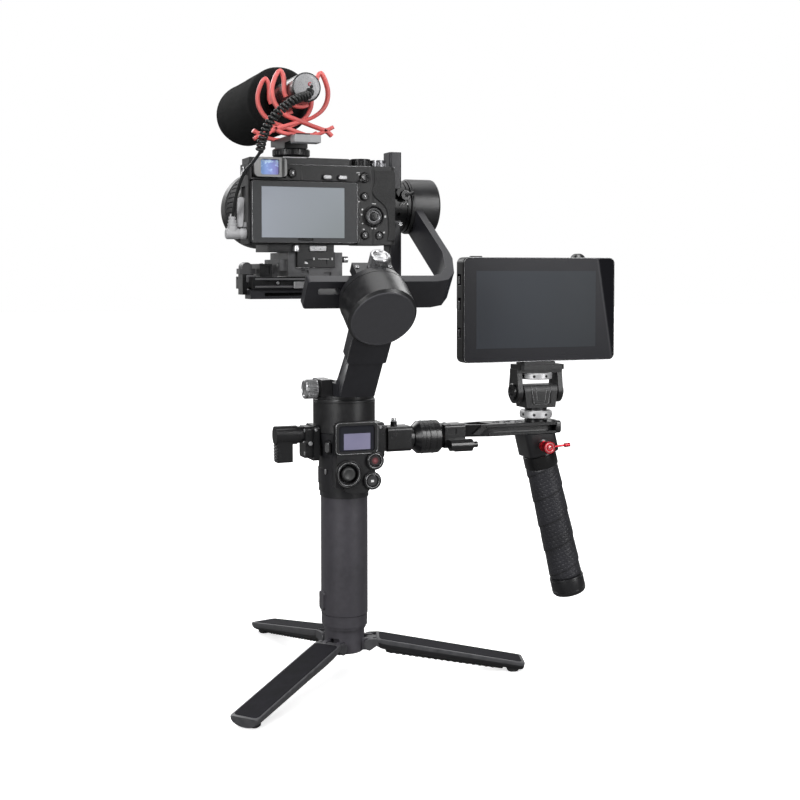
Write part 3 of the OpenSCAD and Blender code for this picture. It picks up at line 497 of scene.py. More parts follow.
def tidy_group():
    """Weld coincident verts and drop imported normals."""
    group, start, end = new_group("tidy")
    weld = group.nodes.new("GeometryNodeMergeByDistance")
    weld.inputs["Distance"].default_value = 1e-6
    drop = group.nodes.new("GeometryNodeRemoveAttribute")
    drop.inputs["Name"].default_value = "custom_normal"
    group.links.new(start.outputs[0], weld.inputs["Geometry"])
    group.links.new(weld.outputs[0], drop.inputs["Geometry"])
    group.links.new(drop.outputs[0], end.inputs[0])
    return group


def smooth_group():
    """Smooth faces, with edges sharper than 38 degrees kept sharp."""
    group, start, end = new_group("smooth_by_angle")
    faces = group.nodes.new("GeometryNodeSetShadeSmooth")
    faces.domain = "FACE"
    faces.inputs["Shade Smooth"].default_value = True
    edges = group.nodes.new("GeometryNodeSetShadeSmooth")
    edges.domain = "EDGE"
    edges.inputs["Shade Smooth"].default_value = False
    angle = group.nodes.new("GeometryNodeInputMeshEdgeAngle")
    sharp = group.nodes.new("FunctionNodeCompare")
    sharp.data_type = "FLOAT"
    sharp.operation = "GREATER_THAN"
    sharp.inputs[1].default_value = radians(38)
    group.links.new(angle.outputs[0], sharp.inputs[0])
    group.links.new(start.outputs[0], faces.inputs["Geometry"])
    group.links.new(faces.outputs[0], edges.inputs["Geometry"])
    group.links.new(sharp.outputs[0], edges.inputs["Selection"])
    group.links.new(edges.outputs[0], end.inputs[0])
    return group


TIDY = tidy_group()
SMOOTH = smooth_group()

# material (None: the part gets its own finish below), bevel width in mm, parts
CAD_PARTS = [
    (GIMBAL, 0.5, "head_shell"), (GIMBAL, 0.35, "roll_rotor"),
    (ARM, 0.8, "pan_arm"), (ARM, 0.6, "roll_arm"), (ARM, 0.4, "camera_arm"),
    (BLACK, 0.35, "tilt_rotor"), (STEEL, 0.15, "leg_pins"),
    (PLASTIC, 0.2, "joystick_cradle"), (PLASTIC, 0.25, "mic_base"),
    (PLASTIC, 0.3, "control_panel mic_lyres mic_foam"),
    (PLASTIC, 0.4, "trigger monitor_shell"),
    (RUBBER, 0, "mic_cable"), (RUBBER, 0.2, "zoom_ring focus_ring"),
    (RUBBER, 0.25, "joystick_cap"), (RUBBER, 0.3, "handle_wrap"),
    (ANODISED, 0.3, "mic_tube arm_clamp"),
    (ANODISED, 0.35, "left_clamp lock_drum cheese_plate"),
    (ANODISED, 0.4, "clamp_knob"), (ANODISED, 0.5, "side_clamp"),
    (SILVER, 0.12, "pan_knob roll_knob"), (SILVER, 0.2, "qr_lever shutter_button"),
    (None, 0.15, "display_glass red_lever"),
    (None, 0.2, "battery_cells camera_optics rear_buttons mode_dial rear_dial "
                "control_wheel monitor_glass"),
    (None, 0.25, "record_button mode_button lens_barrel"),
    (None, 0.3, "pan_motor_case pan_rotor lcd_screen"),
    (None, 0.35, "base_block qr_clamp camera_plate mount_yoke mount_bracket"),
    (None, 0.4, "roll_motor_case tilt_motor_case eyepiece"),
    (None, 0.5, "tripod_hub grip_shell"),
    (None, 0.6, "leg_right leg_front leg_rear"), (None, 0.8, "camera_body"),
]


def use(mat, *parts):
    for part in parts:
        for slot in NODES[part].material_slots:
            slot.material = mat


def dress_cad(part, mat, bevel):
    obj = NODES[part]
    if not obj.material_slots:
        obj.data.materials.append(None)
    for slot in obj.material_slots:
        slot.link = "OBJECT"
    if mat:
        use(mat, part)
    obj.modifiers.new("tidy", "NODES").node_group = TIDY
    planar = obj.modifiers.new("planar", "DECIMATE")
    planar.decimate_type = "DISSOLVE"
    planar.angle_limit = radians(0.6)
    if bevel:
        edge = obj.modifiers.new("bevel", "BEVEL")
        edge.width = bevel * MM
        edge.segments = 2
        edge.limit_method = "ANGLE"
        edge.angle_limit = radians(30)
        edge.use_clamp_overlap = True
        edge.miter_outer = "MITER_SHARP"
    obj.modifiers.new("smooth", "NODES").node_group = SMOOTH
    weighted = obj.modifiers.new("weighted", "WEIGHTED_NORMAL")
    weighted.mode = "FACE_AREA"
    weighted.weight = 50
    weighted.keep_sharp = True


for part_mat, part_bevel, parts in CAD_PARTS:
    for part in parts.split():
        dress_cad(part, part_mat, part_bevel)


# ---------------------------------------------------------------- gimbal finishes
def grip_finish():
    """Moulded, faintly violet grey."""
    use(satin("grip_shell_plastic", (0.058, 0.055, 0.064), rough=0.40, grain=2600,
              strength=0.18), "grip_shell", "tripod_hub")


def leg_finish():
    """Dark top, paler sides and a rubber sole."""
    mat = Mat("leg_shell_and_sole")
    x, y, z = mat.xyz()
    mid = mat.cloud(160)
    world_normal = mat.node("NewGeometry").outputs["Normal"]
    normal = mat.node("VectorTransform", {0: world_normal}, vector_type="NORMAL",
                      convert_from="WORLD", convert_to="OBJECT").outputs[0]
    top = mat.step(mat.xyz(normal)[2], start=0.45, end=0.85)
    # the centre line of a leg falls towards its tip
    center_z = mat.add(0.0168, mat.mul(mat.dist((x, 0.0), (y, 0.0)), -0.1565))
    low = mat.step(mat.sub(mat.sub(center_z, z), 0.0125), start=0.0, end=0.0006)
    sole = mat.mul(low, mat.invert(top))
    base = mat.mix(top, (0.060, 0.059, 0.064), (0.032, 0.031, 0.036))
    patches = mat.mul(mat.step(mid, start=0.35, end=0.7), 0.25)
    base = mat.mix(patches, base, (0.05, 0.049, 0.055))
    base = mat.mix(sole, base, grey(0.014, 0.015))
    rough = mat.mix_value(sole, mat.spread(mid, low=0.42, high=0.54), 0.75)
    mat.put(base=base, rough=rough,
            normal=mat.bump(mat.grain(2600), strength=0.16, depth=0.00012))
    use(mat.material, "leg_right", "leg_front", "leg_rear")


def roll_motor_finish():
    """Matt end face with a finer satin rim."""
    mat = Mat("roll_motor_finish")
    _, y, z = mat.xyz()
    along = mat.add(mat.mul(mat.sub(y, ROLL_ORIGIN.y * MM), ROLL_AXIS.y),
                    mat.mul(mat.sub(z, ROLL_ORIGIN.z * MM), ROLL_AXIS.z))
    face = mat.below(along, -0.1463)
    mid = mat.cloud(180)
    base = mat.mix(face, grey(0.013, 0.014), grey(0.052, 0.058))
    patches = mat.mul(mat.step(mid, start=0.35, end=0.7), 0.2)
    rough = mat.mix_value(face, mat.spread(mid, low=0.30, high=0.38),
                          mat.spread(mid, low=0.50, high=0.60))
    mat.put(base=mat.mix(patches, base, grey(0.05, 0.052)), rough=rough,
            normal=mat.bump(mat.grain(3800), strength=0.12, depth=0.00012))
    use(mat.material, "roll_motor_case")


def motor_case_finish(name, stretch, *parts):
    """Turned motor cases."""
    mat = Mat(name)
    mid = mat.cloud(150)
    lines = mat.streaks(stretch)
    base = mat.tone(mid, dark=grey(0.014, 0.015), light=grey(0.022, 0.023))
    relief = mat.bump(lines, strength=0.10, depth=0.00005)
    relief = mat.bump(mat.grain(4200), strength=0.10, under=relief)
    rough = mat.add(mat.spread(mid, low=0.28, high=0.36), mat.mul(lines, 0.06))
    mat.put(base=base, rough=rough, spec=0.6, normal=relief)
    use(mat.material, *parts)


grip_finish()
leg_finish()
roll_motor_finish()
motor_case_finish("pan_case_finish", (25, 25, 2400), "pan_motor_case", "pan_rotor")
motor_case_finish("tilt_case_finish", (2400, 25, 25), "tilt_motor_case")


# ---------------------------------------------------------------- screens and glass
def status_display():
    """Lavender display with a fine dot grid."""
    mat = Mat("status_display")
    x, _, z = mat.xyz()
    inside = mat.window(x, z, x_span=(-0.0100, 0.0110), z_span=(0.1600, 0.1722))
    grid = mat.mul(mat.repeat(x, rate=2400, start=0.08, end=0.2),
                   mat.repeat(z, rate=2400, start=0.08, end=0.2))
    lit = mat.mix(grid, (0.170, 0.165, 0.255), (0.215, 0.205, 0.310))
    lit = mat.mix(mat.spread(mat.noise(60), high=0.35), lit, (0.27, 0.26, 0.37))
    mat.put(base=mat.mix(inside, (0.020, 0.021, 0.027), lit),
            rough=mat.mix_value(inside, 0.25, 0.3), spec=0.2, emit=lit,
            emit_strength=mat.mul(inside, 0.10),
            normal=mat.bump(mat.grain(900), strength=0.02))
    use(mat.material, "display_glass")


def camera_screen():
    """Pale picture area on the rear face, inside a dark rim."""
    mat = Mat("camera_screen")
    x, y, z = mat.xyz()
    area = mat.window(x, z, x_span=(-0.0653, -0.0001), z_span=(0.3193, 0.3575))
    inside = mat.mul(area, mat.below(y, -0.0015))
    across = mat.ramp(x, start=-0.065, end=0.0)
    height = mat.ramp(z, start=0.319, end=0.357)
    picture = mat.mix(mat.mul(across, mat.invert(mat.mul(height, 0.5))),
                      (0.300, 0.322, 0.365), (0.215, 0.238, 0.245))
    clouds = mat.ramp(mat.noise(28), start=0.35, end=0.65, high=0.3)
    picture = mat.mix(clouds, picture, (0.265, 0.285, 0.300))
    rim = mat.mix(mat.noise(300), (0.040, 0.041, 0.043), (0.055, 0.056, 0.058))
    mat.put(base=mat.mix(inside, rim, picture), rough=mat.mix_value(inside, 0.42, 0.28),
            spec=0.3, emit=picture, emit_strength=mat.mul(inside, 0.12),
            normal=mat.bump(mat.grain(2200), strength=0.06))
    use(mat.material, "lcd_screen")


def monitor_glass():
    """Dark glass and the display inset with painted reflection gradients, and a slanted painted
    reflection that goes dark towards +x, edged by a pale painted highlight line.
    """
    mat = Mat("monitor_glass_painted_reflection")
    x, _, z = mat.xyz()
    mid_x, low_z = 0.1656, 0.2207
    inside = mat.window(x, z, x_span=(mid_x - 0.0572, mid_x + 0.0505),
                        z_span=(low_z + 0.0115, low_z + 0.0735))
    # painted reflection: past a slanted line the glass is painted dark with no specular, and a pale
    # painted highlight line runs along that edge
    slant = mat.add(mat.sub(x, mid_x + 0.0597), mat.mul(mat.sub(z, low_z + 0.042), 0.165))
    dark = mat.step(slant, start=-0.0006, end=0.0012)
    line = mat.mul(mat.step(slant, start=-0.0022, end=-0.0004), mat.invert(dark))
    # painted reflection gradients over the height and across the glass
    height = mat.ramp(z, start=low_z, end=low_z + 0.0845)
    across = mat.ramp(x, start=mid_x - 0.068, end=mid_x + 0.068)
    surround = mat.mix(height, grey(0.019, 0.023), grey(0.025, 0.029))
    display = mat.mix(mat.mul(across, mat.invert(mat.mul(height, 0.3))),
                      (0.038, 0.044, 0.056), (0.029, 0.033, 0.036))
    display = mat.mix(mat.spread(mat.noise(22), high=0.5), display, (0.038, 0.041, 0.047))
    base = mat.mix(inside, surround, display)
    base = mat.mix(mat.mul(line, 0.35), base, grey(0.075, 0.08))
    base = mat.mix(dark, base, grey(0.011, 0.013))
    smudge = mat.noise(45, detail=5, rough=0.7)
    mat.put(base=base, rough=mat.spread(smudge, low=0.30, high=0.33),
            spec=mat.mix_value(dark, 0.12, 0.0),
            normal=mat.bump(mat.grain(800), strength=0.01))
    use(mat.material, "monitor_glass")


def coated_optics():
    """Viewfinder window at the rear, tinted and glowing as a painted reflection with painted glints, and
    the front lens element.
    """
    mat = Mat("coated_optics")
    x, y, z = mat.xyz()
    rear = mat.below(y, 0.02)
    height = mat.ramp(z, start=0.366, end=0.377)
    across = mat.ramp(x, start=-0.066, end=-0.052)
    # the window's blue to violet tint and its glow are a painted reflection; the glints are painted
    # highlights
    window = mat.mix(across, (0.22, 0.36, 0.66), (0.24, 0.22, 0.50))
    painted_glints = mat.mul(mat.step(mat.noise(220), start=0.5, end=0.62),
                     mat.step(height, start=0.0, end=0.6))
    window = mat.mix(painted_glints, window, (0.50, 0.66, 0.90))
    rings = mat.repeat(mat.dist((x, -0.034), (z, 0.3455)), rate=300, start=0.2, end=0.8)
    lens = mat.mix(rings, (0.006, 0.010, 0.016), (0.020, 0.012, 0.030))
    mat.put(base=mat.mix(rear, lens, window), rough=0.06, coat=1.0, coat_rough=0.02,
            emit=window, emit_strength=mat.mul(rear, 0.35),
            normal=mat.bump(mat.grain(500), strength=0.01))
    use(mat.material, "camera_optics")


status_display()
camera_screen()
monitor_glass()
coated_optics()


# ---------------------------------------------------------------- camera finishes
def camera_body():
    """Finely stippled paint, paler on top."""
    mat = Mat("camera_body_paint")
    z = mat.xyz()[2]
    mid = mat.cloud(120)
    base = mat.tone(mid, dark=grey(0.017, 0.0175), light=grey(0.027, 0.0275))
    base = mat.mix(mat.above(z, 0.3748), base, grey(0.034, 0.035))
    relief = mat.bump(mat.cells(2300), strength=0.35, depth=0.00018)
    relief = mat.bump(mat.grain(3500), strength=0.1, under=relief)
    mat.put(base=base, rough=mat.spread(mid, low=0.46, high=0.58), normal=relief)
    use(mat.material, "camera_body")


def eyepiece():
    """Pale grey rear face with a dark slot, dark rubber elsewhere."""
    mat = Mat("eyepiece_frame")
    x, y, _ = mat.xyz()
    face = mat.below(y, -0.0042)
    slot = mat.mul(mat.between(x, low=-0.0506, high=-0.0484), face)
    pale = mat.mix(mat.noise(500), grey(0.24), grey(0.31))
    base = mat.mix(slot, mat.mix(face, grey(0.014, 0.015), pale), grey(0.05))
    mat.put(base=base, rough=0.48, normal=mat.bump(mat.grain(1800), strength=0.2))
    use(mat.material, "eyepiece")


def rear_buttons():
    """Satin tops, dark sides."""
    mat = Mat("button_tops")
    y = mat.xyz()[1]
    cloud = mat.noise(800)
    top = mat.mix(cloud, grey(0.055, 0.056), grey(0.085, 0.086))
    mat.put(base=mat.mix(mat.below(y, -0.0012), grey(0.012), top), rough=0.30, metal=0.3,
            normal=mat.bump(cloud, strength=0.1))
    use(mat.material, "rear_buttons")


def control_wheel():
    """Black centre, bright turned ring and a knurled edge."""
    mat = Mat("control_wheel_finish")
    x, _, z = mat.xyz()
    across, height = (x, 0.0241), (z, 0.3363)
    radius = mat.dist(across, height)
    lines = mat.streaks((900, 30, 900))
    silver = mat.between(radius, low=0.0036, high=0.0052)
    outer = mat.above(radius, 0.0052)
    knurl = mat.repeat(mat.bearing(height, across), rate=5.1, start=0.25, end=0.6)
    base = mat.mix(silver, grey(0.014, 0.015), grey(0.15, 0.155))
    base = mat.mix(mat.mul(outer, knurl), base, grey(0.045, 0.047))
    relief = mat.add(lines, mat.mul(knurl, outer))
    mat.put(base=base, rough=mat.spread(lines, low=0.24, high=0.36),
            metal=mat.mix_value(silver, 0.2, 0.95),
            normal=mat.bump(relief, strength=0.25, depth=0.0002))
    use(mat.material, "control_wheel")


def rear_dial():
    """Silver top dial with a darker knurl."""
    mat = Mat("rear_dial_finish")
    x, y, _ = mat.xyz()
    knurl = mat.above(mat.dist((x, 0.0325), (y, 0.013)), 0.0055)
    mat.put(base=mat.mix(knurl, grey(0.42, 0.43), grey(0.22, 0.23)), rough=0.32, metal=0.9,
            normal=mat.bump(mat.noise(900), strength=0.2))
    use(mat.material, "rear_dial")


def mode_dial():
    """Black top dial with a ring of pale ticks."""
    mat = Mat("mode_dial_finish")
    x, y, z = mat.xyz()
    across, along = (x, 0.0185), (y, 0.014)
    band = mat.between(mat.dist(across, along), low=0.0055, high=0.0066)
    ticks = mat.mul(band, mat.repeat(mat.bearing(along, across), rate=1.432,
                                     start=0.80, end=0.86))
    mask = mat.mul(ticks, mat.above(z, 0.3808))
    mat.put(base=mat.mix(mask, grey(0.016, 0.017), grey(0.5)), rough=0.34, metal=0.3,
            normal=mat.bump(mat.noise(900), strength=0.2))
    use(mat.material, "mode_dial")


def lens_barrel():
    """Black anodised, with a thin grey line near the front rim."""
    mat = Mat("lens_barrel_finish")
    y = mat.xyz()[1]
    lines = mat.streaks((30, 2200, 30))
    mid = mat.noise(130)
    base = mat.tone(mid, dark=grey(0.011, 0.0115), light=grey(0.018, 0.019))
    base = mat.mix(mat.between(y, low=0.1112, high=0.1118), base, grey(0.07, 0.072))
    rough = mat.add(mat.spread(mid, low=0.32, high=0.40), mat.mul(lines, 0.06))
    mat.put(base=base, rough=rough, spec=0.25,
            normal=mat.bump(lines, strength=0.1, depth=0.00006))
    use(mat.material, "lens_barrel")


for finish in (camera_body, eyepiece, rear_buttons, control_wheel, rear_dial, mode_dial,
               lens_barrel):
    finish()


# ---------------------------------------------------------------- mount and grip part finishes
def clamp_grey():
    mat = Mat("clamp_grey_finish")
    cloud = mat.cloud(150)
    base = mat.tone(cloud, dark=grey(0.085, 0.088), light=grey(0.125, 0.129))
    lines = mat.streaks((40, 1800, 1800))
    rough = mat.add(mat.spread(cloud, low=0.32, high=0.42), mat.mul(lines, 0.05))
    mat.put(base=base, rough=rough, metal=0.55,
            normal=mat.bump(mat.grain(4200), strength=0.14))
    use(mat.material, "qr_clamp")


def camera_plate():
    """Dark plate with a slightly paler top."""
    mat = Mat("camera_plate_finish")
    z = mat.xyz()[2]
    cloud = mat.cloud(150)
    base = mat.mix(mat.above(z, 0.3110),
                   mat.mix(cloud, grey(0.020, 0.021), grey(0.035, 0.036)),
                   mat.mix(cloud, grey(0.030, 0.031), grey(0.045, 0.046)))
    mat.put(base=base, rough=0.4, metal=0.3,
            normal=mat.bump(mat.grain(4200), strength=0.14))
    use(mat.material, "camera_plate")


def base_block():
    """Black stack with a paler end at -x and a pale upright band."""
    mat = Mat("base_block_finish")
    x, _, z = mat.xyz()
    cloud = mat.cloud(150)
    end = mat.mul(mat.above(z, 0.2918), mat.below(x, -0.0635))
    band = mat.mul(mat.between(x, low=-0.0530, high=-0.0480), mat.above(z, 0.2895))
    base = mat.tone(cloud, dark=grey(0.010, 0.0105), light=grey(0.020, 0.021))
    base = mat.mix(mat.math("MAXIMUM", end, band), base, grey(0.085, 0.088))
    mat.put(base=base, rough=mat.spread(cloud, low=0.30, high=0.40), metal=0.4,
            normal=mat.bump(mat.grain(4200), strength=0.14))
    use(mat.material, "base_block")


def swivel_mount(part, low, high):
    """Black block with a bright lock ring between two heights."""
    mat = Mat(part + "_finish")
    x, y, z = mat.xyz()
    radius = mat.dist((x, MONITOR_X * MM), (y, 0.0))
    ring = mat.mul(mat.between(z, low, high), mat.below(radius, 0.0126))
    lines = mat.streaks((40, 40, 2600))
    cloud = mat.cloud(150)
    core = mat.mul(mat.mul(ring, mat.below(radius, 0.0098)),
                   mat.between(z, low + 0.0006, high - 0.0006))
    base = mat.tone(cloud, dark=grey(0.012, 0.0125), light=grey(0.021, 0.022))
    base = mat.mix(core, mat.mix(ring, base, grey(0.56, 0.57)), grey(0.02))
    rough = mat.mix_value(ring, mat.spread(cloud, low=0.34, high=0.44),
                          mat.spread(lines, low=0.22, high=0.36))
    mat.put(base=base, rough=rough, metal=mat.mix_value(ring, 0.1, 0.95),
            normal=mat.bump(mat.grain(3500), strength=0.12))
    use(mat.material, part)


def battery_cells():
    """Green wrap with bright ends."""
    mat = Mat("cell_wrap_finish")
    top = mat.above(mat.xyz()[2], 0.0806)
    cloud = mat.grain(300)
    wrap = mat.mix(cloud, (0.02, 0.16, 0.09), (0.03, 0.22, 0.13))
    mat.put(base=mat.mix(top, wrap, grey(0.6, 0.61)), rough=0.3, metal=mat.mul(top, 0.9),
            normal=mat.bump(cloud, strength=0.1))
    use(mat.material, "battery_cells")


def record_button():
    """Dark button with a red dot and a paler core."""
    mat = Mat("record_button_finish")
    x, _, z = mat.xyz()
    radius = mat.dist((x, 0.0144), (z, 0.151))
    cloud = mat.noise(900)
    base = mat.mix(mat.below(radius, 0.0024),
                   mat.mix(cloud, (0.018, 0.014, 0.015), (0.028, 0.021, 0.022)),
                   mat.mix(cloud, (0.115, 0.026, 0.030), (0.15, 0.036, 0.040)))
    mat.put(base=mat.mix(mat.below(radius, 0.0011), base, (0.26, 0.085, 0.09)), rough=0.34,
            normal=mat.bump(cloud, strength=0.12))
    use(mat.material, "record_button")


def mode_button():
    """Dark button with a plain bright spot."""
    mat = Mat("mode_button_finish")
    x, _, z = mat.xyz()
    cloud = mat.noise(900)
    spot = mat.window(x, z, x_span=(0.0110, 0.0134), z_span=(0.1348, 0.1366))
    base = mat.mix(cloud, grey(0.030, 0.031), grey(0.050, 0.052))
    mat.put(base=mat.mix(spot, base, grey(0.80)), rough=0.33,
            normal=mat.bump(cloud, strength=0.12))
    use(mat.material, "mode_button")


clamp_grey()
camera_plate()
base_block()
swivel_mount("mount_yoke", low=0.1744, high=0.1809)
swivel_mount("mount_bracket", low=0.2061, high=0.2115)
battery_cells()
record_button()
mode_button()


# ---------------------------------------------------------------- microphone
def foam_material():
    mat = Mat("open_cell_foam")
    cells = mat.cells(2600)
    base = mat.tone(mat.cloud(90), dark=(0.0055, 0.0056, 0.0057),
                    light=(0.0095, 0.0097, 0.0100))
    walls = mat.mul(mat.step(cells, start=0.35, end=0.75), 0.6)
    base = mat.mix(walls, base, (0.018, 0.0185, 0.019))
    # painted shade: scattered pits in the foam are darkened
    pit_shade = mat.mul(mat.step(mat.grain(420), start=0.68, end=0.78), 0.4)
    base = mat.mix(pit_shade, base, grey(0.004))
    relief = mat.bump(mat.add(cells, mat.mul(mat.noise(1500), 0.6)), strength=0.75,
                      depth=0.0004)
    relief = mat.bump(mat.cells(1250), strength=0.35, depth=0.0005, under=relief)
    return mat.put(base=base, rough=0.93, spec=0.18, sheen_rough=0.6, normal=relief)


def foam_windscreen():
    """Foam sleeve with a bore, a rounded rear lip and a domed front."""
    radius, length, bore = 26.5, 111.5, 11.25
    center = Vector((MIC_X, 41.0, MIC_Z))
    profile = [(0, 108), (bore, 108)] + [(bore, height) for height in range(104, 0, -8)]
    profile += [(11.3, 0.9), (12.2, 0.2), (14, 0.05), (16, 0.0), (18, 0.1), (19.6, 0.35),
                (21.2, 0.9), (22.6, 1.7), (23.8, 2.7), (24.8, 3.9), (25.5, 5.2),
                (26.0, 6.6), (26.3, 8.0)]
    height = 8.9
    while height < length:
        waist = 0.25 * sin(pi * (height - 8) / (length - 8))
        profile.append((radius - 0.12 - waist, height))
        height += 0.9
    for k in range(47):
        turn = radians(90 * k / 46.0)
        profile.append((radius * cos(turn) if k < 46 else 0.0,
                        length + (radius - 0.1) * sin(turn)))
    geo = Geo()
    geo.lathe(center, Y, profile, 190)
    # shallow lumps and pores pushed along the radius, outside the bore
    for i, vert in enumerate(geo.verts):
        point = vert / MM
        if hypot(point.x - center.x, point.z - center.z) < 12.3:
            continue
        core_y = min(max(point.y, center.y + 10), center.y + length)
        outward = (point - Vector((center.x, core_y, center.z))).normalized()
        lump = solid_noise.noise(point * 0.045) * 0.45
        pore = solid_noise.noise(point * 0.95) * 0.11 + solid_noise.noise(point * 2.1) * 0.06
        geo.verts[i] = (point + outward * (lump + pore - 0.35)) * MM
    geo.build("foam_windscreen", foam_material(), "camera", "foam", "mic_foam", angle=60)


# Strips of one spring: steps per span, then points (x, z) from the microphone axis for the
# +x side. Two more values shift a point in z and y by side, so the pair can cross.
SPRING_STRIPS = [
    # over the top, round and down to the foot on the other side
    (7, [(10.9, -5.5), (12.3, -1.5), (12.4, 3), (12.6, 7), (13.6, 11), (15.6, 13.6),
         (17.8, 11.6), (20.3, 6), (21.7, -0.5), (20.8, -7.5), (17.2, -14), (11, -19),
         (3.5, -22.2, -0.25, 0.35), (-5, -24.8), (-12.5, -27.2), (-19.5, -29.2)]),
    # two short prongs at the foot
    (6, [(18.6, -28.9), (22, -28.3), (25.6, -26.4)]),
    (6, [(18.8, -29.2), (21.8, -30.6), (24.6, -33.2)]),
    # lower bow
    (6, [(19.6, -29.6), (14.5, -32.0), (8.5, -33.0), (3, -33.2)]),
]


def spring_material():
    mat = Mat("salmon_springs")
    patches = mat.ramp(mat.grain(35), start=0.35, end=0.65)
    base = mat.mix(patches, (0.72, 0.125, 0.120), (0.83, 0.185, 0.172))
    return mat.put(base=base, rough=mat.spread(mat.noise(120), low=0.34, high=0.46),
                   sss=0.12, sss_radius=(0.004, 0.0012, 0.001), sss_scale=0.6,
                   normal=mat.bump(mat.grain(2200), strength=0.12))


def mic_springs():
    """Two spring clips that carry the microphone tube."""
    half_width, half_thick, cut = 2.35, 1.38, 0.5
    narrow, thin = half_width - cut, half_thick - cut
    section = [(narrow, half_thick), (half_width, thin), (half_width, -thin),
               (narrow, -half_thick), (-narrow, -half_thick), (-half_width, -thin),
               (-half_width, thin), (-narrow, half_thick)]
    geo = Geo()
    for y in (-9, 33):
        for side in (-1, 1):
            for per_span, strip in SPRING_STRIPS:
                points = []
                for along, height, *shift in strip:
                    shift_z, shift_y = shift or (0, 0)
                    points.append((MIC_X + side * along, y + side * shift_y,
                                   MIC_Z + height + side * shift_z))
                geo.tube(smooth_path(points, per_span), 1.0, section=section, up=Y)
        # arc under the tube, and the foot
        arc = [(MIC_X + 12.3 * cos(radians(a)), y, MIC_Z + 12.3 * sin(radians(a)))
               for a in range(-62, -119, -8)]
        geo.tube(smooth_path(arc, 5), 1.0, section=section, up=Y)
        geo.plate((-5.5, -36.2, 5.5, -31.9), 0.9, (MIC_X, y + 2.6, MIC_Z), 5.2, 0.4)
    geo.build("mic_springs", spring_material(), "camera", "red_plastic", "mic_lyres", angle=50)


# Centre lines of the lead: from the microphone, through the coil, to the plug
LEAD_START = [(-35.6, -23.5, 426.0), (-35.4, -28.2, 427.2), (-34.2, -31.4, 425.6),
              (-34.6, -31.6, 423.2)]
LEAD_COIL = [(-35.9, -30.4, 422.6), (-45.3, -36, 419.6), (-53, -39.5, 415.5),
             (-62.4, -40, 408), (-69.4, -38, 399), (-72.6, -33, 388.5), (-73.2, -27.5, 379.5)]
LEAD_TAIL = [(-73.2, -27.5, 379.5), (-77, -20.5, 372.5), (-81, -14, 366.4),
             (-84.0, -5, 354.5), (-85.0, 3.5, 341), (-85.0, 8, 333.5)]


def coil_path():
    pitch, per_turn, coil_radius = 3.05, 16, 2.45
    path = smooth_path(LEAD_COIL, 40)
    lengths = [0.0]
    for start, end in zip(path, path[1:]):
        lengths.append(lengths[-1] + (end - start).length)
    total = lengths[-1]
    steps = int(total / pitch * per_turn)
    along = (path[1] - path[0]).normalized()
    normal = (Z - along * along.z).normalized()
    coil = []
    j = 0
    for i in range(steps + 1):
        travel = total * i / steps
        while j < len(lengths) - 2 and lengths[j + 1] < travel:
            j += 1
        part = (travel - lengths[j]) / max(1e-9, lengths[j + 1] - lengths[j])
        along = (path[j + 1] - path[j]).normalized()
        normal = (normal - along * normal.dot(along)).normalized()
        turn = tau * travel / pitch
        # the coil closes onto its centre line at both ends
        opening = min(1.0, i / (per_turn * 0.8), (steps - i) / (per_turn * 0.8))
        offset = normal * cos(turn) + along.cross(normal) * sin(turn)
        coil.append(path[j].lerp(path[j + 1], part) + offset * (coil_radius * opening))
    return coil


def coiled_lead():
    mat = two_tone("lead_rubber", dark=(0.010, 0.011, 0.011), light=(0.020, 0.021, 0.021),
                   cloud=(200, 3), rough=(0.30, 0.42), grain=(2500, 2), strength=0.1)
    coil = coil_path()
    geo = Geo()
    geo.tube(smooth_path(LEAD_START, 6) + coil, 1.15, 9)
    geo.tube(coil[-1:] + smooth_path(LEAD_TAIL, 9)[1:], 1.2)
    # sleeve where the lead leaves the microphone
    geo.lathe((-35.6, -27.6, 426.6), (0, 1, 0.05),
              [(0, 0), (1.6, 0), (1.9, 0.4), (2.1, 3.4), (0, 3.4)], 20)
    geo.build("coiled_lead", mat, "camera", "rubber", "mic_cable", angle=60)


def lead_plug():
    """Right-angle plug with a stepped sleeve, and the open port cover beside it."""
    mat = two_tone("plug_grey", dark=grey(0.36, 0.37), light=grey(0.46, 0.47),
                   cloud=(300, 3), rough=(0.38, 0.5), grain=(2500, 2), strength=0.15)
    geo = Geo()
    geo.lathe((-90.2, 8.5, 322), X,
              [(0, 0), (3.4, 0), (4.1, 0.8), (4.1, 9.5), (3.6, 10.2), (3.6, 11), (4.1, 11.6),
               (4.1, 15.2), (3.4, 15.8), (0, 15.8)], 36)
    profile = [(0, 0), (4.0, 0), (4.0, 3.6)]
    height = 3.6
    for k in range(4):
        radius = 3.9 - 0.42 * k
        profile += [(radius, height), (radius, height + 1.5), (radius - 0.7, height + 1.7),
                    (radius - 0.7, height + 2.3)]
        height += 2.4
    profile += [(1.7, height), (1.5, height + 1.2), (0, height + 1.2)]
    geo.lathe((-85.2, 8.5, 322.4), Z, profile, 32)
    geo.build("lead_plug", mat, "camera", "silver_metal", angle=40)
    geo = Geo()
    geo.plate((-2.6, -11.2, 2.6, 11.2), 1.6, (-78.4, 9.5, 338.2), 1.3, 0.3,
              across=(0.93, -0.36, 0), up=(0.05, 0, 1))
    geo.plate((-1.4, -2.0, 1.4, 2.0), 0.6, (-75.6, 9.2, 329), 1.0, 0.2)
    geo.build("port_cover", mat, "camera", "silver_metal", angle=40)


def speckled_cap():
    mat = Mat("speckled_cap")
    specks, cloud = mat.cells(1400), mat.noise(700)
    base = mat.mix(mat.step(specks, start=0.18, end=0.42), grey(0.16, 0.165),
                   grey(0.36, 0.37))
    flecks = mat.mul(mat.step(cloud, start=0.6, end=0.72), 0.5)
    base = mat.mix(flecks, base, grey(0.66))
    return mat.put(base=base, rough=0.42, metal=0.25,
                   normal=mat.bump(mat.add(specks, cloud), strength=0.25, depth=0.00015))


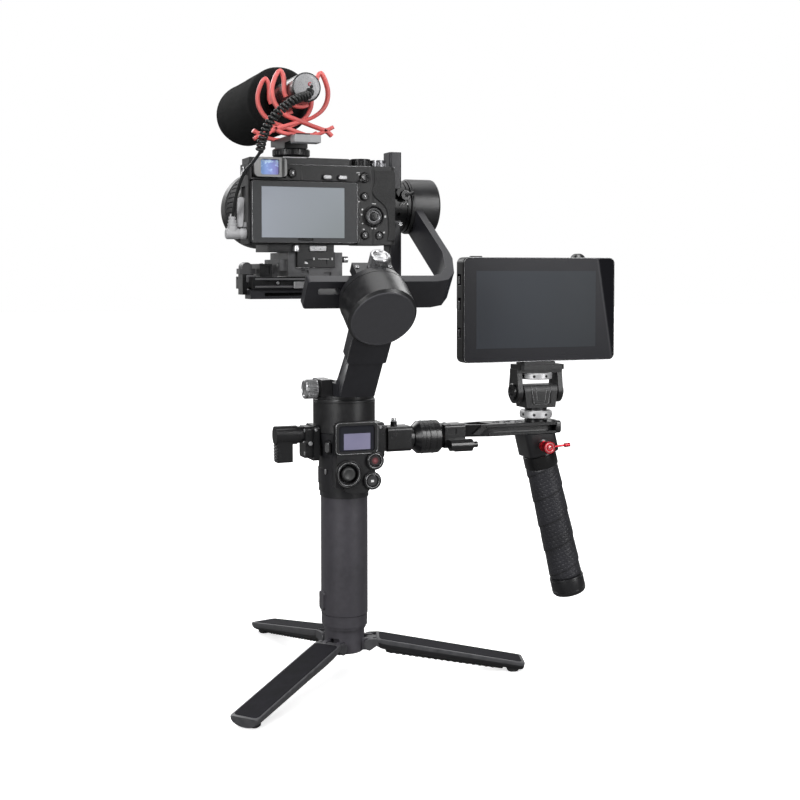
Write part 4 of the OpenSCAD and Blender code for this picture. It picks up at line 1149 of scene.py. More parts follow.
def mic_end():
    """Rear cap of the microphone, with a red mark and a round socket."""
    geo = Geo()
    geo.lathe((MIC_X, -26.05, MIC_Z), -Y,
              [(0, -0.3), (9.9, -0.3), (9.9, 0.15), (9.5, 0.35), (6, 0.5), (0, 0.55)], 64)
    geo.build("mic_end_cap", speckled_cap(), "camera", "silver_metal")
    geo = Geo()
    geo.tube([(MIC_X + 2.2 + 1.1 * cos(radians(a)), -26.75, 431.2 + 1.1 * sin(radians(a)))
              for a in range(40, 330, 20)], 0.35, 8)
    geo.build("mic_end_mark", plain("indicator_red", (0.55, 0.03, 0.05), rough=0.35),
              "camera", "red_plastic")
    geo = Geo()
    geo.lathe((-33.6, -26.1, 429.6), -Y,
              [(0, -0.2), (1.15, -0.2), (1.15, 1.0), (0.9, 1.3), (0, 1.3)], 24)
    geo.build("mic_socket", RUBBER, "camera", "rubber")


def mic_rail():
    """Slider block and the rail that the springs stand on."""
    mat = two_tone("base_grey", dark=grey(0.30, 0.31), light=grey(0.42, 0.43),
                   cloud=(300, 3), rough=0.45, grain=(2200, 2), strength=0.2)
    geo = Geo()
    geo.plate((-10.2, -2.9, 10.2, 2.9), 0.7, (MIC_X, -17.5, 391.2), 11.0, 0.5)
    geo.build("mic_slider", mat, "camera", "grey_metal")
    geo = Geo()
    geo.plate((-5.2, 0, 5.2, 3.4), 0.6, (MIC_X, 44, 392.8), 62, 0.4)
    geo.build("mic_rail", PLASTIC, "camera", "black_plastic")


for make in (foam_windscreen, mic_springs, coiled_lead, lead_plug, mic_end, mic_rail):
    make()


# ---------------------------------------------------------------- side handle
def tape_radius(turn, z):
    """Radius of the wound tape; each turn laps over the one below it."""
    phase = ((z - TAPE_LOW) / TAPE_PITCH - turn / tau + TAPE_LAP) % 1.0
    lip = sin(min(1.0, phase / 0.035) * pi / 2)     # rounded free edge
    seam = -0.28 * exp(-((min(phase, 1 - phase)) / 0.012) ** 2)
    radius = 12.65 + 0.95 * (1.0 - phase * 0.75) * lip + seam
    for gap in (TAPE_HIGH - z, z - TAPE_LOW):       # both ends taper off
        if gap < 1.2:
            radius -= 0.5 * (1 - gap / 1.2)
    # staggered rows of pressed pores run along the tape
    pore_step, row_step = 3.1, 3.3
    up = phase * TAPE_PITCH
    row = round(up / row_step)
    along = turn * 13.2 + (row % 2) * pore_step / 2
    if 2.4 < up < TAPE_PITCH - 1.6:
        offset = (along / pore_step - round(along / pore_step)) * pore_step
        reach = hypot(offset, (up - row * row_step) * 1.15)
        if reach < 0.85:
            radius -= 0.34 * (1 - (reach / 0.85) ** 2)
    fine = solid_noise.noise(Vector((cos(turn) * 9, sin(turn) * 9, z * 0.7)))
    broad = solid_noise.noise(Vector((cos(turn) * 2, sin(turn) * 2, z * 0.12)))
    return radius + 0.05 * fine + 0.10 * broad


def tape_material():
    mat = Mat("leatherette_tape")
    creases = mat.noise(900, detail=4, rough=0.65)
    base = mat.tone(mat.cloud(60), dark=grey(0.018, 0.021), light=grey(0.030, 0.036))
    worn = mat.mul(mat.step(creases, start=0.55, end=0.75), 0.35)
    base = mat.mix(worn, base, grey(0.045, 0.05))
    relief = mat.bump(mat.cells(1500), strength=0.45, depth=0.00022)
    relief = mat.bump(creases, strength=0.3, depth=0.0002, under=relief)
    return mat.put(base=base, rough=mat.spread(creases, low=0.34, high=0.50), normal=relief)


def handle_tape():
    around, rows = 210, 300
    turns = [tau * i / around for i in range(around)]
    geo = Geo()

    def add_ring(z, radius_at):
        points = []
        for turn in turns:
            radius = radius_at(turn, z)
            points.append(handle_point(radius * cos(turn), radius * sin(turn), z))
        return geo.ring(points)

    outer = [add_ring(TAPE_LOW + (TAPE_HIGH - TAPE_LOW) * j / rows, tape_radius)
             for j in range(rows + 1)]
    low, high = [add_ring(z, lambda turn, z: 12.3) for z in (TAPE_LOW, TAPE_HIGH)]
    geo.bridge(outer)
    geo.bridge([low, outer[0]])
    geo.bridge([outer[-1], high, low])
    geo.build("handle_tape", tape_material(), "side_arm", "wrap", "handle_wrap", angle=55)


def handle_head_and_plug():
    """Head block, cut off level just above the underside of the plate, and the end plug."""
    half, corner, cut_z = 13.5, 4.6, 162.05
    geo = Geo()
    rings = []
    # inset of each ring and its height; None follows the level cut
    for shrink, height in ((1.3, -16.4), (0.3, -15.9), (0.0, -15.2), (0.0, None)):
        edge = half - shrink
        points = []
        for x, y in rounded((-edge, -edge, edge, edge), corner - shrink * 0.5):
            z = height
            if z is None:
                z = (cut_z - HANDLE_ORIGIN.z - x * sin(HANDLE_TILT)) / cos(HANDLE_TILT)
            points.append(handle_point(x, y, z))
        rings.append(geo.ring(points))
    geo.solid(rings)
    geo.lathe(handle_point(0, 0, -138.0), HANDLE_UP,
              [(0, 0), (11.4, 0), (12.6, 0.4), (13.7, 1.8), (13.95, 3.0), (14.0, 14.2),
               (13.7, 15.0), (12.4, 15.2), (0, 15.2)], 96, up=X)
    geo.build("handle_head_and_plug", HANDLE, "side_arm", "black_metal", "handle_core",
              angle=38)


def handle_details():
    # smooth sleeve between the head and the tape
    geo = Geo()
    geo.lathe(handle_point(0, 0, -16.0), -HANDLE_UP,
              [(0, 0), (12.9, 0), (13.3, 0.7), (13.3, 1.0), (13.75, 1.5), (13.8, 10.6),
               (13.3, 11.6), (0, 11.6)], 96, up=X)
    geo.build("handle_sleeve", BLACK, "side_arm", "black_metal")
    # dark line along the free edge of the tape, painted shade where each turn laps the one below
    per_turn, radius = 60, 13.02
    points = []
    for k in range(int((TAPE_HIGH - TAPE_LOW) / TAPE_PITCH * per_turn)):
        z = TAPE_LOW + TAPE_PITCH * k / per_turn
        turn = tau * (k / per_turn + TAPE_LAP)
        if TAPE_LOW + 0.7 < z < TAPE_HIGH - 1.0:
            points.append(handle_point(radius * cos(turn), radius * sin(turn), z))
    geo = Geo()
    geo.tube(points, 0.34, 8)
    geo.build("tape_seam_shade_line", RUBBER, "side_arm", "wrap", angle=60)
    # screw in the end plug and two lines round it
    geo = Geo()
    geo.lathe(handle_point(0, 0, -138.0), -HANDLE_UP,
              [(0, -1), (3.4, -1), (3.4, 0.5), (3.0, 0.9), (1.7, 0.9), (1.7, 0.1), (0, 0.1)],
              36, up=X)
    geo.build("handle_end_screw", STEEL, "side_arm", "steel")
    geo = Geo()
    for z in (-124.6, -133.8):
        geo.hoop(handle_point(0, 0, z), 13.85, 0.28, 96, across=HANDLE_ACROSS, up=Y)
    geo.build("handle_end_rings", ANODISED, "side_arm", "black_metal")


def red_knob():
    """Red lock knob on the rear of the handle block, with a bright face, grooves and a seat."""
    red = two_tone("red_anodised", dark=(0.42, 0.006, 0.016), light=(0.62, 0.016, 0.032),
                   cloud=(260, 3), rough=(0.24, 0.34), grain=(3500, 2), stretch=True,
                   metal=0.85, coat=0.3)
    use(red, "red_lever")
    center = handle_point(-1, 0, -8.5)
    pink = two_tone("bright_pink_ring", dark=(0.80, 0.22, 0.24), light=(0.92, 0.40, 0.40),
                    cloud=(900, 2), rough=0.22, metal=0.7, strength=0.1)
    geo = Geo()
    geo.hoop(center - Y * 24.55, 3.55, 0.62, 48, 10)
    geo.lathe(center - Y * 24.4, -Y, [(0, 0), (1.7, 0), (1.7, 0.35), (1.3, 0.6), (0, 0.6)], 28)
    geo.build("red_knob_face", pink, "red_lever", "red_metal")
    geo = Geo()
    for depth in (15.5, 17.6, 19.4):
        geo.hoop(center - Y * depth, 4.05, 0.32, 40)
    geo.build("red_knob_grooves", red, "red_lever", "red_metal")
    geo = Geo()
    geo.lathe(center - Y * 13.3, -Y, [(2.75, -1), (5.6, -1), (5.6, 0.0), (5.0, 0.32),
                                      (2.75, 0.32), (2.75, -1)], 40)
    geo.build("red_knob_seat", ANODISED, "side_arm", "black_metal")


handle_tape()
handle_head_and_plug()
handle_details()
red_knob()


# ---------------------------------------------------------------- lock knobs and rings
def lock_knob(name, node, origin, axis, height):
    """Fluted thumb knob with a slightly dished face and a shank."""
    radius, flutes = 7.4, 34
    mat = two_tone(name + "_metal", dark=grey(0.46, 0.47), light=grey(0.62, 0.63),
                   cloud=(500, 3), rough=(0.26, 0.38), grain=(2800, 2), strength=0.15,
                   stretch=True, metal=0.92)

    def flute(reach, level, turn):
        if reach < radius - 0.3 or level < 1.2 or level > height - 1.9:
            return reach
        return reach - 0.42 * (0.5 + 0.5 * cos(turn * flutes)) ** 2

    profile = [(0, 0), (radius - 1.1, 0), (radius - 0.3, 0.35), (radius, 1.0),
               (radius, 1.3), (radius, 1.6)]
    level = 2.2
    while level < height - 2.0:
        profile.append((radius, level))
        level += 0.9
    # radius less than the knob's, depth below its face
    profile += [(radius - less, height - drop) for less, drop in (
        (0, 2.0), (0, 1.8), (0, 0.9), (0.5, 0.25), (1.3, 0), (2.1, 0.1), (2.5, 0.8),
        (3.2, 1.1))]
    profile += [(1.6, height - 1.0), (1.2, height - 1.3), (0, height - 1.3)]
    geo = Geo()
    geo.lathe(origin, axis, profile, flutes * 6, ripple=flute)
    geo.lathe(Vector(origin) - axis.normalized() * 7.5, axis,
              [(0, 0), (2.3, 0), (2.5, 0.5), (2.5, 7.8), (0, 7.8)], 32)
    geo.build(name, mat, node, "silver_metal", node, angle=40)


def lock_ring(name, body, z, radius, height):
    """Bright ring on the monitor swivel, with eight dark plugs as blind holes, their dark colour being
    painted shade.
    """
    mat = Mat(name + "_metal")
    lines = mat.streaks((40, 40, 2600))
    mat.put(base=mat.tone(lines, dark=grey(0.62, 0.63), light=grey(0.76, 0.77)),
            rough=mat.spread(lines, low=0.30, high=0.42), metal=0.5,
            normal=mat.bump(lines, strength=0.1, depth=0.00008))
    center = Vector((MONITOR_X, 0, z))
    inner, top = radius - 2.2, height - 0.05
    geo = Geo()
    geo.lathe(center, Z, [(inner, 0.05), (radius - 0.7, 0.05), (radius, 0.7),
                          (radius, height - 0.7), (radius - 0.7, top), (inner, top),
                          (inner, 0.05)], 80)
    geo.build(name, mat.material, body, "silver_metal", angle=30)
    # dark plugs where the blind holes are: painted shade
    geo = Geo()
    for k in range(8):
        turn = radians(45 * k + 12)
        outward = Vector((cos(turn), sin(turn), 0))
        geo.lathe(center + Z * (height / 2) + outward * (radius - 1.2), outward,
                  [(0, 0), (1.15, 0), (1.15, 1.30), (1.0, 1.36), (0, 1.36)], 20)
    geo.build(name + "_hole_shade_plugs", RUBBER, body, "rubber", angle=40)


lock_knob("pan_lock_knob", "pan_knob", (-23.5, -5, 204.5), -X, height=10.5)
lock_knob("roll_lock_knob", "roll_knob", roll_point(2.5, -18.4, -109.6), -ROLL_DOWN,
          height=11.5)
lock_ring("swivel_ring_lower", "monitor_swivel", z=174.5, radius=13.1, height=6.2)
lock_ring("swivel_ring_upper", "monitor", z=206.2, radius=13.2, height=5.2)


# ---------------------------------------------------------------- camera details
# thumb rest outline (x, z): curved edge towards -x, then the straight edge towards +x
THUMB_CURVE = [(24.8, 371.8), (24.8, 362), (22.8, 356.4), (23.6, 353), (26.4, 349.6),
               (30.4, 346.6), (33.6, 343.2), (35.4, 338.5), (36.0, 332), (36.2, 324),
               (35.2, 317.4)]
THUMB_EDGE = [(40.6, 317.4), (41.7, 319), (41.7, 369.5), (40.4, 371.8)]
# round rear buttons: x, z, radius, y of the ring, raised centre
ROUND_BUTTONS = [(16.8, 366, 3.9, -0.1, False), (16.8, 351.5, 3.2, -0.1, True),
                 (17, 321.6, 3.2, -0.1, True), (28.6, 321.6, 3.2, -1.3, True),
                 (-41.3, 367.8, 3.5, -0.1, True)]
# printed marks on the rear, by the y they start from: x, z, width, height
CAMERA_MARKS = {
    -0.02: [(11.9, 369.6, 2.6, 0.55), (12.5, 368.2, 1.6, 0.5), (12.4, 347.6, 1.4, 1.2),
            (15.2, 341.6, 1.0, 1.3), (14.6, 337.6, 1.2, 1.2), (15.4, 330.8, 1.0, 0.9),
            (16.3, 326.2, 1.3, 0.9)],
    -1.22: [(24.2, 346.0, 3.0, 0.7), (33.6, 336.4, 1.5, 1.7), (22.9, 326.9, 1.1, 0.9),
            (25.4, 326.9, 1.1, 0.9), (32.6, 324.0, 1.4, 1.3)],
}


def grip_covers():
    """Leather thumb rest on the rear and cover on the front of the camera grip."""
    mat = Mat("thumb_rest_leather")
    relief = mat.bump(mat.cells(1300), strength=0.6, depth=0.0003)
    relief = mat.bump(mat.noise(1100), strength=0.3, depth=0.0002, under=relief)
    base = mat.tone(mat.noise(120), dark=grey(0.013, 0.0135), light=grey(0.022, 0.0225))
    mat.put(base=base, rough=0.6, normal=relief)
    curve = [(point.x, point.y) for point in smooth_path([(x, z, 0) for x, z in THUMB_CURVE], 4)]
    geo = Geo()
    geo.prism(curve + THUMB_EDGE, (0, -0.8, 0), 1.5, 0.45)
    geo.build("thumb_rest", mat.material, "camera", "camera_shell", angle=40)
    geo = Geo()
    geo.plate((22, 320, 40.5, 368), 4, (0, 49.6, 0), 1.0, 0.4)
    geo.build("front_grip_cover", mat.material, "camera", "camera_shell", angle=40)


def camera_buttons():
    """Seats, tops and rings of the rear buttons, the bright tops and rings being painted highlights, and
    the small tab by the top one.
    """
    seats, pills, faces = Geo(), Geo(), Geo()
    for x in (-13.3, -1.0):
        seats.plate((x - 4.6, 363.2, x + 4.6, 367.8), 2.3, (0, 0.2, 0), 1.0, 0.2)
        pills.plate((x - 3.3, 364.1, x + 3.3, 366.9), 1.35, (0, -0.7, 0), 1.3, 0.35)
    for x, z, radius, y, raised in ROUND_BUTTONS:
        seats.hoop((x, y, z), radius, 0.34, 40)
        # bright ring and raised top of each round button: painted highlights
        faces.hoop((x, -1.78, z), radius - 1.5, 0.22, 32)
        if raised:
            top = radius - 2.2
            faces.lathe((x, -1.6, z), -Y, [(0, -0.2), (top, -0.2), (top, 0.25),
                                           (top - 0.4, 0.42), (0, 0.42)], 24)
    seats.hoop((24.1, -1.35, 336.3), 7.7, 0.5, 60)
    seats.build("button_seats", BLACK, "camera", "black_plastic", angle=40)
    pills.build("pill_button_highlights", BRIGHT, "camera", "silver_metal", angle=40)
    faces.build("button_face_highlights", EDGE, "camera", "silver_metal", angle=40)
    geo = Geo()
    geo.plate((12.2, 362.6, 15.0, 364.6), 0.9, (0, -1.2, 0), 1.4, 0.3)
    geo.lathe((16.8, -1.9, 366), -Y, [(0, -0.3), (2.5, -0.3), (2.5, 0.5), (2.0, 0.9), (0, 0.7)],
              30)
    geo.build("focus_switch", ANODISED, "camera", "black_metal", angle=40)


def camera_marks():
    geo = Geo()
    for y, marks in CAMERA_MARKS.items():
        for x, z, width, height in marks:
            geo.plate((x - width / 2, z - height / 2, x + width / 2, z + height / 2),
                      min(width, height) * 0.3, (0, y, 0), 0.12, steps=3)
    geo.build("camera_marks", WHITE_MARK, "camera", "silver_metal", smooth=False)


def camera_top():
    # shoe blade, oval strap ring and round strap boss
    geo = Geo()
    geo.plate((-46.4, 378.9, -27.6, 380.9), 0.6, (0, 6.6, 0), 1.4, 0.3)
    geo.hoop((-77.4, 7, 368.5), 1.0, 0.62, 28, across=Y * 2.3, up=Vector((0.5, 0, 3.1)))
    geo.lathe((42.6, 5.2, 365.5), X, [(0, 0), (2.1, 0), (2.1, 0.6), (1.6, 0.85), (0, 0.85)], 24)
    geo.build("shoe_and_strap_rings", BRIGHT, "camera", "silver_metal", angle=40)
    # raised deck
    geo = Geo()
    geo.plate((-28, 3, 6.8, 28), 3, (0, 0, 379.3), 0.9, 0.3, up=Y)
    geo.build("top_deck", PLASTIC, "camera", "camera_shell", angle=40)
    # power collar with its tab
    geo = Geo()
    geo.lathe((33, 38, 374.6), Z,
              [(5.2, 0), (7.2, 0), (7.2, 2.0), (6.7, 2.6), (5.2, 2.6), (5.2, 0)])
    geo.plate((-1.3, 6.6, 1.3, 10.2), 1.0, (33, 38, 374.8), 1.8, 0.3, up=Y)
    geo.build("power_collar", ANODISED, "camera", "black_metal", angle=40)


def camera_edges():
    """Fine painted highlight lines on the screen frame and the body, and the screen's pull tab."""
    geo = Geo()
    geo.tube([(x, -2.4, z) for x, z in rounded((-72.3, 315.7, 10.3, 361.5), 2.2, 5)], 0.20, 6,
             closed=True)
    geo.build("screen_edge_highlight", EDGE, "lcd_screen", "black_metal", angle=60)
    geo = Geo()
    for wire, line in ((0.22, [(-33.2, 362.9), (-33.2, 374.2), (11.6, 374.2)]),
                       (0.2, [(-44, 374.6), (42.2, 374.6)]),
                       (0.16, [(12.4, 361.0), (12.4, 316.2)])):
        geo.tube([(x, -0.02, z) for x, z in line], wire, 6)
    geo.build("body_edge_highlights", EDGE, "camera", "black_metal", angle=60)
    geo = Geo()
    geo.plate((-6, -1.0, 6, 1.0), 0.8, (-31, -2.3, 318.2), 0.7, 0.25)
    geo.build("screen_hinge", ANODISED, "lcd_screen", "black_metal", angle=40)


# ---------------------------------------------------------------- sliding plates under the camera
def plate_stack():
    geo = Geo()
    geo.lathe((-36.9, 2.4, 308.9), Z,
              [(0, 0), (2.1, 0), (2.5, 0.4), (2.5, 4.6), (2.0, 5.2), (0, 5.2)], 28)
    geo.plate((-26.2, 309.2, -13.0, 313.4), 0.8, (0, 4.2, 0), 1.6, 0.35)
    geo.build("plate_release", BRIGHT, "camera", "silver_metal", angle=40)
    # rear knob, block and screws
    geo = Geo()
    geo.lathe((-29.6, 6.6, 298.6), -Y, [(0, -1), (2.7, -1), (2.9, 0.2), (2.9, 1.7), (2.4, 2.3),
                                        (1.2, 2.4), (1.0, 2.0), (0, 2.0)], 32)
    geo.plate((-38.4, 280.8, -27.6, 286.2), 0.9, (0, 6.4, 0), 2.6, 0.5)
    for x, z in ((-25.5, 287.6), (-12.0, 287.8), (-50, 285)):
        geo.screw((x, 8.1, z), -Y, 1.2, 0.6)
    for place in ((-60, 20, 299.5), (-10, 52, 296.5), (-40, 56, 296.5)):
        geo.screw(place, Z, 1.5, 0.6)
    for y in (15, 45):
        geo.screw((-48.2, y, 298.5), -X, 1.5, 0.7)
    geo.build("stack_hardware", BRIGHT, "camera_arm", "silver_metal", angle=40)
    # line and two dashes on the rear face of the camera plate
    geo = Geo()
    geo.plate((-19.4, 303.1, -10.6, 303.45), 0.15, (0, 4.02, 0), 0.12, steps=2)
    for x in (-22.6, -8.0):
        geo.plate((x - 0.45, 302.4, x + 0.45, 304.4), 0.3, (0, 4.02, 0), 0.12, steps=3)
    geo.build("plate_marks", WHITE_MARK, "camera", "silver_metal", smooth=False)
    geo = Geo()
    geo.plate((-60.4, 274.7, 30.4, 277.9), 0.5, (0, 19.5, 0), 1.4, 0.1)
    geo.build("rail_insert", BLACK, "camera_arm", "black_metal", angle=40)
    # two rails and a pad
    geo = Geo()
    for z in (281.4, 287.2):
        geo.plate((-68, z, 6, z + 1.5), 0.4, (0, 8.1, 0), 0.9, 0.25)
    geo.plate((-71.8, 285.4, -64.4, 291.2), 0.8, (0, 19.9, 0), 1.1, 0.3)
    geo.build("slide_rails", GREY, "camera_arm", "grey_metal", angle=40)


# ---------------------------------------------------------------- gimbal details
def tilt_details():
    # knob with its lever
    geo = Geo()
    geo.lathe((53.8, 9.6, 353.6), -Y, [(0, -2), (3.9, -2), (4.2, -1.5), (4.2, 2.6), (3.7, 3.3),
                                       (2.0, 3.3), (1.8, 2.8), (0, 2.8)], 36)
    geo.tube([(53.8, 7.6, 353.6), (56.4, 7.4, 354.3), (58.8, 7.2, 355.2), (60.4, 7.2, 356.0)],
             [1.5, 1.5, 1.5, 1.8], 12)
    geo.build("rail_lock_lever", ANODISED, "tilt_rotor", "black_metal", angle=50)
    # two short lines with a dot
    geo = Geo()
    geo.tube([(52.8, 9.3, 346.6), (53.8, 9.25, 347.6)], 0.3, 6)
    geo.lathe((56.6, 10.2, 347.0), -Y, [(0, -0.3), (0.8, -0.3), (0.8, 0.1), (0, 0.15)], 14)
    geo.tube([(50.6, 9.6, 346.0), (52.0, 9.4, 347.9)], 0.3, 6)
    geo.build("tilt_marks", WHITE_MARK, "tilt_rotor", "silver_metal")
    geo = Geo()
    geo.screw((50.5, 10.2, 331), -Y, 1.7, 0.9)
    geo.build("tilt_screw", EDGE, "tilt_rotor", "steel", angle=40)


def roll_details():
    geo = Geo()
    geo.hoop(roll_point(0, 0, -123.2), 25.45, 0.26, 120, 6, up=ROLL_DOWN)
    geo.build("roll_case_seam", BLACK, "pan_arm", "black_metal")
    geo = Geo()
    for x in (12.5, -12.5):
        geo.screw(roll_point(x, -18.1, -108.5), -ROLL_DOWN, 1.7, 0.8)
    geo.build("roll_clamp_screws", EDGE, "roll_rotor", "steel", angle=40)
    # cover plate on the pan arm, a painted highlight line round its rim and a painted highlight line on
    # each side
    geo = Geo()
    geo.plate((-7.5, 27.5, 12.2, 47.2), 1.6, roll_point(0, 0, -137.6), 1.2, 0.4, up=ROLL_DOWN)
    geo.build("arm_cover_plate", ARM, "pan_arm", "gimbal_metal", angle=40)
    geo = Geo()
    geo.tube([roll_point(x, y, -137.55)
              for x, y in rounded((-7.2, 27.8, 11.9, 46.9), 1.5, 5)], 0.24, 6, closed=True)
    for x in (-15.2, 15.4):
        geo.tube([roll_point(x, 48.5, -136.5), roll_point(x, 26.5, -136.5)], 0.3, 6)
    geo.build("arm_plate_highlight_lines", EDGE, "pan_arm", "gimbal_metal", angle=60)


def pan_details():
    """Parting line of the pan motor and painted highlight strips on the clamp above it."""
    geo = Geo()
    geo.hoop((0, 0, 194.2), 23.85, 0.22, 120, 6, up=Y)
    geo.build("pan_case_seam", BLACK, "grip", "black_metal")
    geo = Geo()
    for x0, x1, z in ((-21.6, -13.4, 211.5), (14.9, 19.3, 206.9)):
        geo.plate((x0, -14.2, x1, 8.2), 0.8, (0, 0, z), 0.5, 0.2, up=Y)
    geo.build("pan_clamp_highlight_strips", EDGE, "pan_rotor", "silver_metal", angle=40)


# ---------------------------------------------------------------- grip head details
# joystick and two buttons: x, z, radius of the fine painted highlight ring, radius and wire of the rim
HEAD_CONTROLS = [(-6.8, 142, 8.6, 9.9, 0.85), (14.4, 151, 5.3, 6.3, 0.6),
                 (12.2, 136, 5.3, 6.3, 0.6)]


def panel_rims():
    fine, rims = Geo(), Geo()
    # fine painted highlight lines round the panel and inside each control's rim
    fine.tube([(x, -30.75, z) for x, z in rounded((-16.5, 156.9, 16.6, 180.3), 3.3, 8)], 0.42, 8,
              closed=True)
    for x, z, inner, outer, wire in HEAD_CONTROLS:
        fine.hoop((x, -31.6, z), inner, 0.36, 56)
        rims.hoop((x, -31.4, z), outer, wire, 64, 12)
    fine.build("panel_highlight_rims", EDGE, "grip", "black_metal", angle=60)
    rims.build("panel_rims", BLACK, "grip", "black_metal", angle=60)


def joystick():
    """Dished joystick cap."""
    mat = two_tone("joystick_rubber", dark=(0.030, 0.031, 0.031), light=(0.055, 0.056, 0.056),
                   cloud=(200, 3), rough=0.42, grain=(1500, 3), strength=0.2)
    geo = Geo()
    geo.lathe((-6.8, -31.6, 142), -Y, [(0, -0.4), (4.9, -0.4), (5.0, 0.3), (4.6, 1.1),
                                       (3.8, 1.35), (3.1, 1.0), (1.6, 0.65), (0, 0.6)])
    geo.build("joystick_dish", mat, "joystick", "rubber", angle=50)


def flank_key(name, mat, slot, degrees, reach, z, half_width, half_height, corner, depth,
              chamfer, steps=8):
    """Rounded key on the -x flank of the head, at an angle turned towards -y."""
    turn = radians(degrees)
    outward = Vector((-cos(turn), -sin(turn), 0))
    geo = Geo()
    geo.plate((-half_width, -half_height, half_width, half_height), corner,
              Vector((0, -2.5, z)) + outward * reach, depth, chamfer,
              across=Vector((sin(turn), -cos(turn), 0)), steps=steps)
    geo.build(name, mat, "grip", slot, angle=40)


def flank_keys():
    flank_key("power_key_seat", BLACK, "black_plastic", degrees=35, reach=20.5 + 0.9,
              z=160.6, half_width=3.2, half_height=5.2, corner=3.1, depth=1.6, chamfer=0.4)
    flank_key("power_key", EDGE, "black_plastic", degrees=35, reach=20.5 + 1.6,
              z=160.6, half_width=2.2, half_height=4.0, corner=2.1, depth=1.2, chamfer=0.45)
    flank_key("status_light", BRIGHT, "silver_metal", degrees=25, reach=19.8 + 0.5, z=141.6,
              half_width=0.9, half_height=2.1, corner=0.85, depth=0.8, chamfer=0.25, steps=6)


def clamp_details():
    """Thumb screw and cap screws of the clamps, and ribs on the wing handle."""
    geo = Geo()
    geo.lathe((41, 0, 175.0), Z, [(0, 0), (1.7, 0), (1.9, 0.3), (1.9, 3.6), (1.5, 4.2),
                                  (0.8, 4.2), (0.7, 3.7), (0, 3.7)], 28)
    for z in (156, 171):
        geo.screw((29.2, 8.6, z), X, 1.2, 0.6)
    for z in (155.5, 173):
        geo.screw((-33.3, -5.8, z), -X, 1.4, 0.6)
    geo.screw((-30.4, -10.9, 163.6), -Y, 1.6, 0.7)
    for x in (-26, 26):
        geo.screw((x, -11.0, 173.6), -Y, 1.1, 0.5)
    geo.build("clamp_screws", BRIGHT, "grip", "silver_metal", angle=40)
    geo = Geo()
    for k in range(5):
        geo.plate((-5.0, -0.45, 5.0, 0.45), 0.4, (-54.7, 0, 152 + 2.3 * k), 0.7, 0.2,
                  across=-Y, steps=3)
    geo.build("wing_ribs", ANODISED, "clamp_knob", "black_metal", angle=40)


# ---------------------------------------------------------------- side arm details
def arm_clamp_details():
    geo = Geo()
    for x, radius in ((64.0, 13.02), (67.5, 12.85), (73.0, 13.02)):
        geo.hoop((x, 0, 163), radius, 0.25, 80, 6, across=Y)
    geo.build("drum_bands", BLACK, "side_arm", "black_metal", angle=50)
    geo = Geo()
    # two painted highlight lines along the front of the clamp; the screws below are real
    geo.tube([(84.5, -14.1, 158.9), (100.5, -14.1, 158.9)], 0.42, 8)
    geo.tube([(84.5, -14.15, 154.6), (100.5, -14.15, 154.6)], 0.3, 8)
    for y in (-5, 5):
        geo.screw((86, y, 172.4), Z, 1.6, 0.7)
    geo.screw((107.4, -11.5, 156.5), X, 1.5, 0.4)
    geo.build("arm_clamp_screws_and_highlight_lines", EDGE, "side_arm", "steel", angle=40)


def side_plate_details():
    """Painted highlight line along the edge, painted highlight rims round the holes, and the rails of the
    side plate.
    """
    geo = Geo()
    geo.tube([(x, y, 171.55) for x, y in ((100.6, -6.3), (118, -11.05), (168, -11.05),
                                          (172.2, -10.3))], 0.22, 6)
    geo.build("plate_edge_highlight", EDGE, "side_arm", "black_metal", angle=60)
    geo = Geo()
    for x in (130, 140, 150):
        geo.hoop((x, 1, 171.62), 3.45, 0.25, 36, 6, up=Y)
    for x in (135, 145):
        for y in (-6, 8):
            geo.hoop((x, y, 171.6), 1.95, 0.2, 24, 6, up=Y)
    geo.build("plate_hole_highlight_rims", EDGE, "side_arm", "black_metal", angle=60)
    geo = Geo()
    geo.plate((-11.7, -5.1, 11.7, 5.1), 2.2, (178.6, 0, 167.2), 4.6, 0.8, across=Y, steps=5)
    geo.plate((116, 168.9, 178.5, 171.75), 0.7, (0, -10.7, 0), 1.35, 0.35)
    geo.plate((118, 162.1, 178.5, 164.6), 0.7, (0, -10.7, 0), 1.35, 0.35)
    geo.prism([(104.5, 164), (110, 163), (117, 168.9), (117, 171.6), (112.5, 171.6)],
              (0, -8.9, 0), 2.2, 0.35)
    geo.build("plate_rails", ANODISED, "side_arm", "black_metal", angle=38)


def monitor_mount_details():
    # engraved outline on the swivel block, drawn as painted highlight lines
    geo = Geo()
    for line in (((156.6, 200.6), (159.4, 186.2), (171.8, 186.2), (174.6, 200.6)),
                 ((160.6, 199.4), (162.3, 188.9), (168.9, 188.9), (170.6, 199.4))):
        geo.tube([(x, -9.6, z) for x, z in line], 0.22, 6)
    geo.build("swivel_block_highlight_lines", EDGE, "monitor_swivel", "black_metal", angle=60)
    # tilt pivot caps with a circle of pins
    geo = Geo()
    for side in (-1, 1):
        x = MONITOR_X + side * 20.4
        geo.lathe((x, 0, 196), X * side,
                  [(0, -0.6), (6.6, -0.6), (7.0, 0), (7.0, 1.2), (6.3, 1.9), (4.2, 1.9),
                   (3.9, 1.4), (0, 1.4)])
        for k in range(6):
            turn = radians(60 * k)
            geo.lathe((x + side, 2.4 * cos(turn), 196 + 2.4 * sin(turn)), X * side,
                      [(0, -0.4), (0.55, -0.4), (0.55, 0.7), (0, 0.75)], 10)
    geo.build("pivot_caps", ANODISED, "monitor", "black_metal", angle=40)


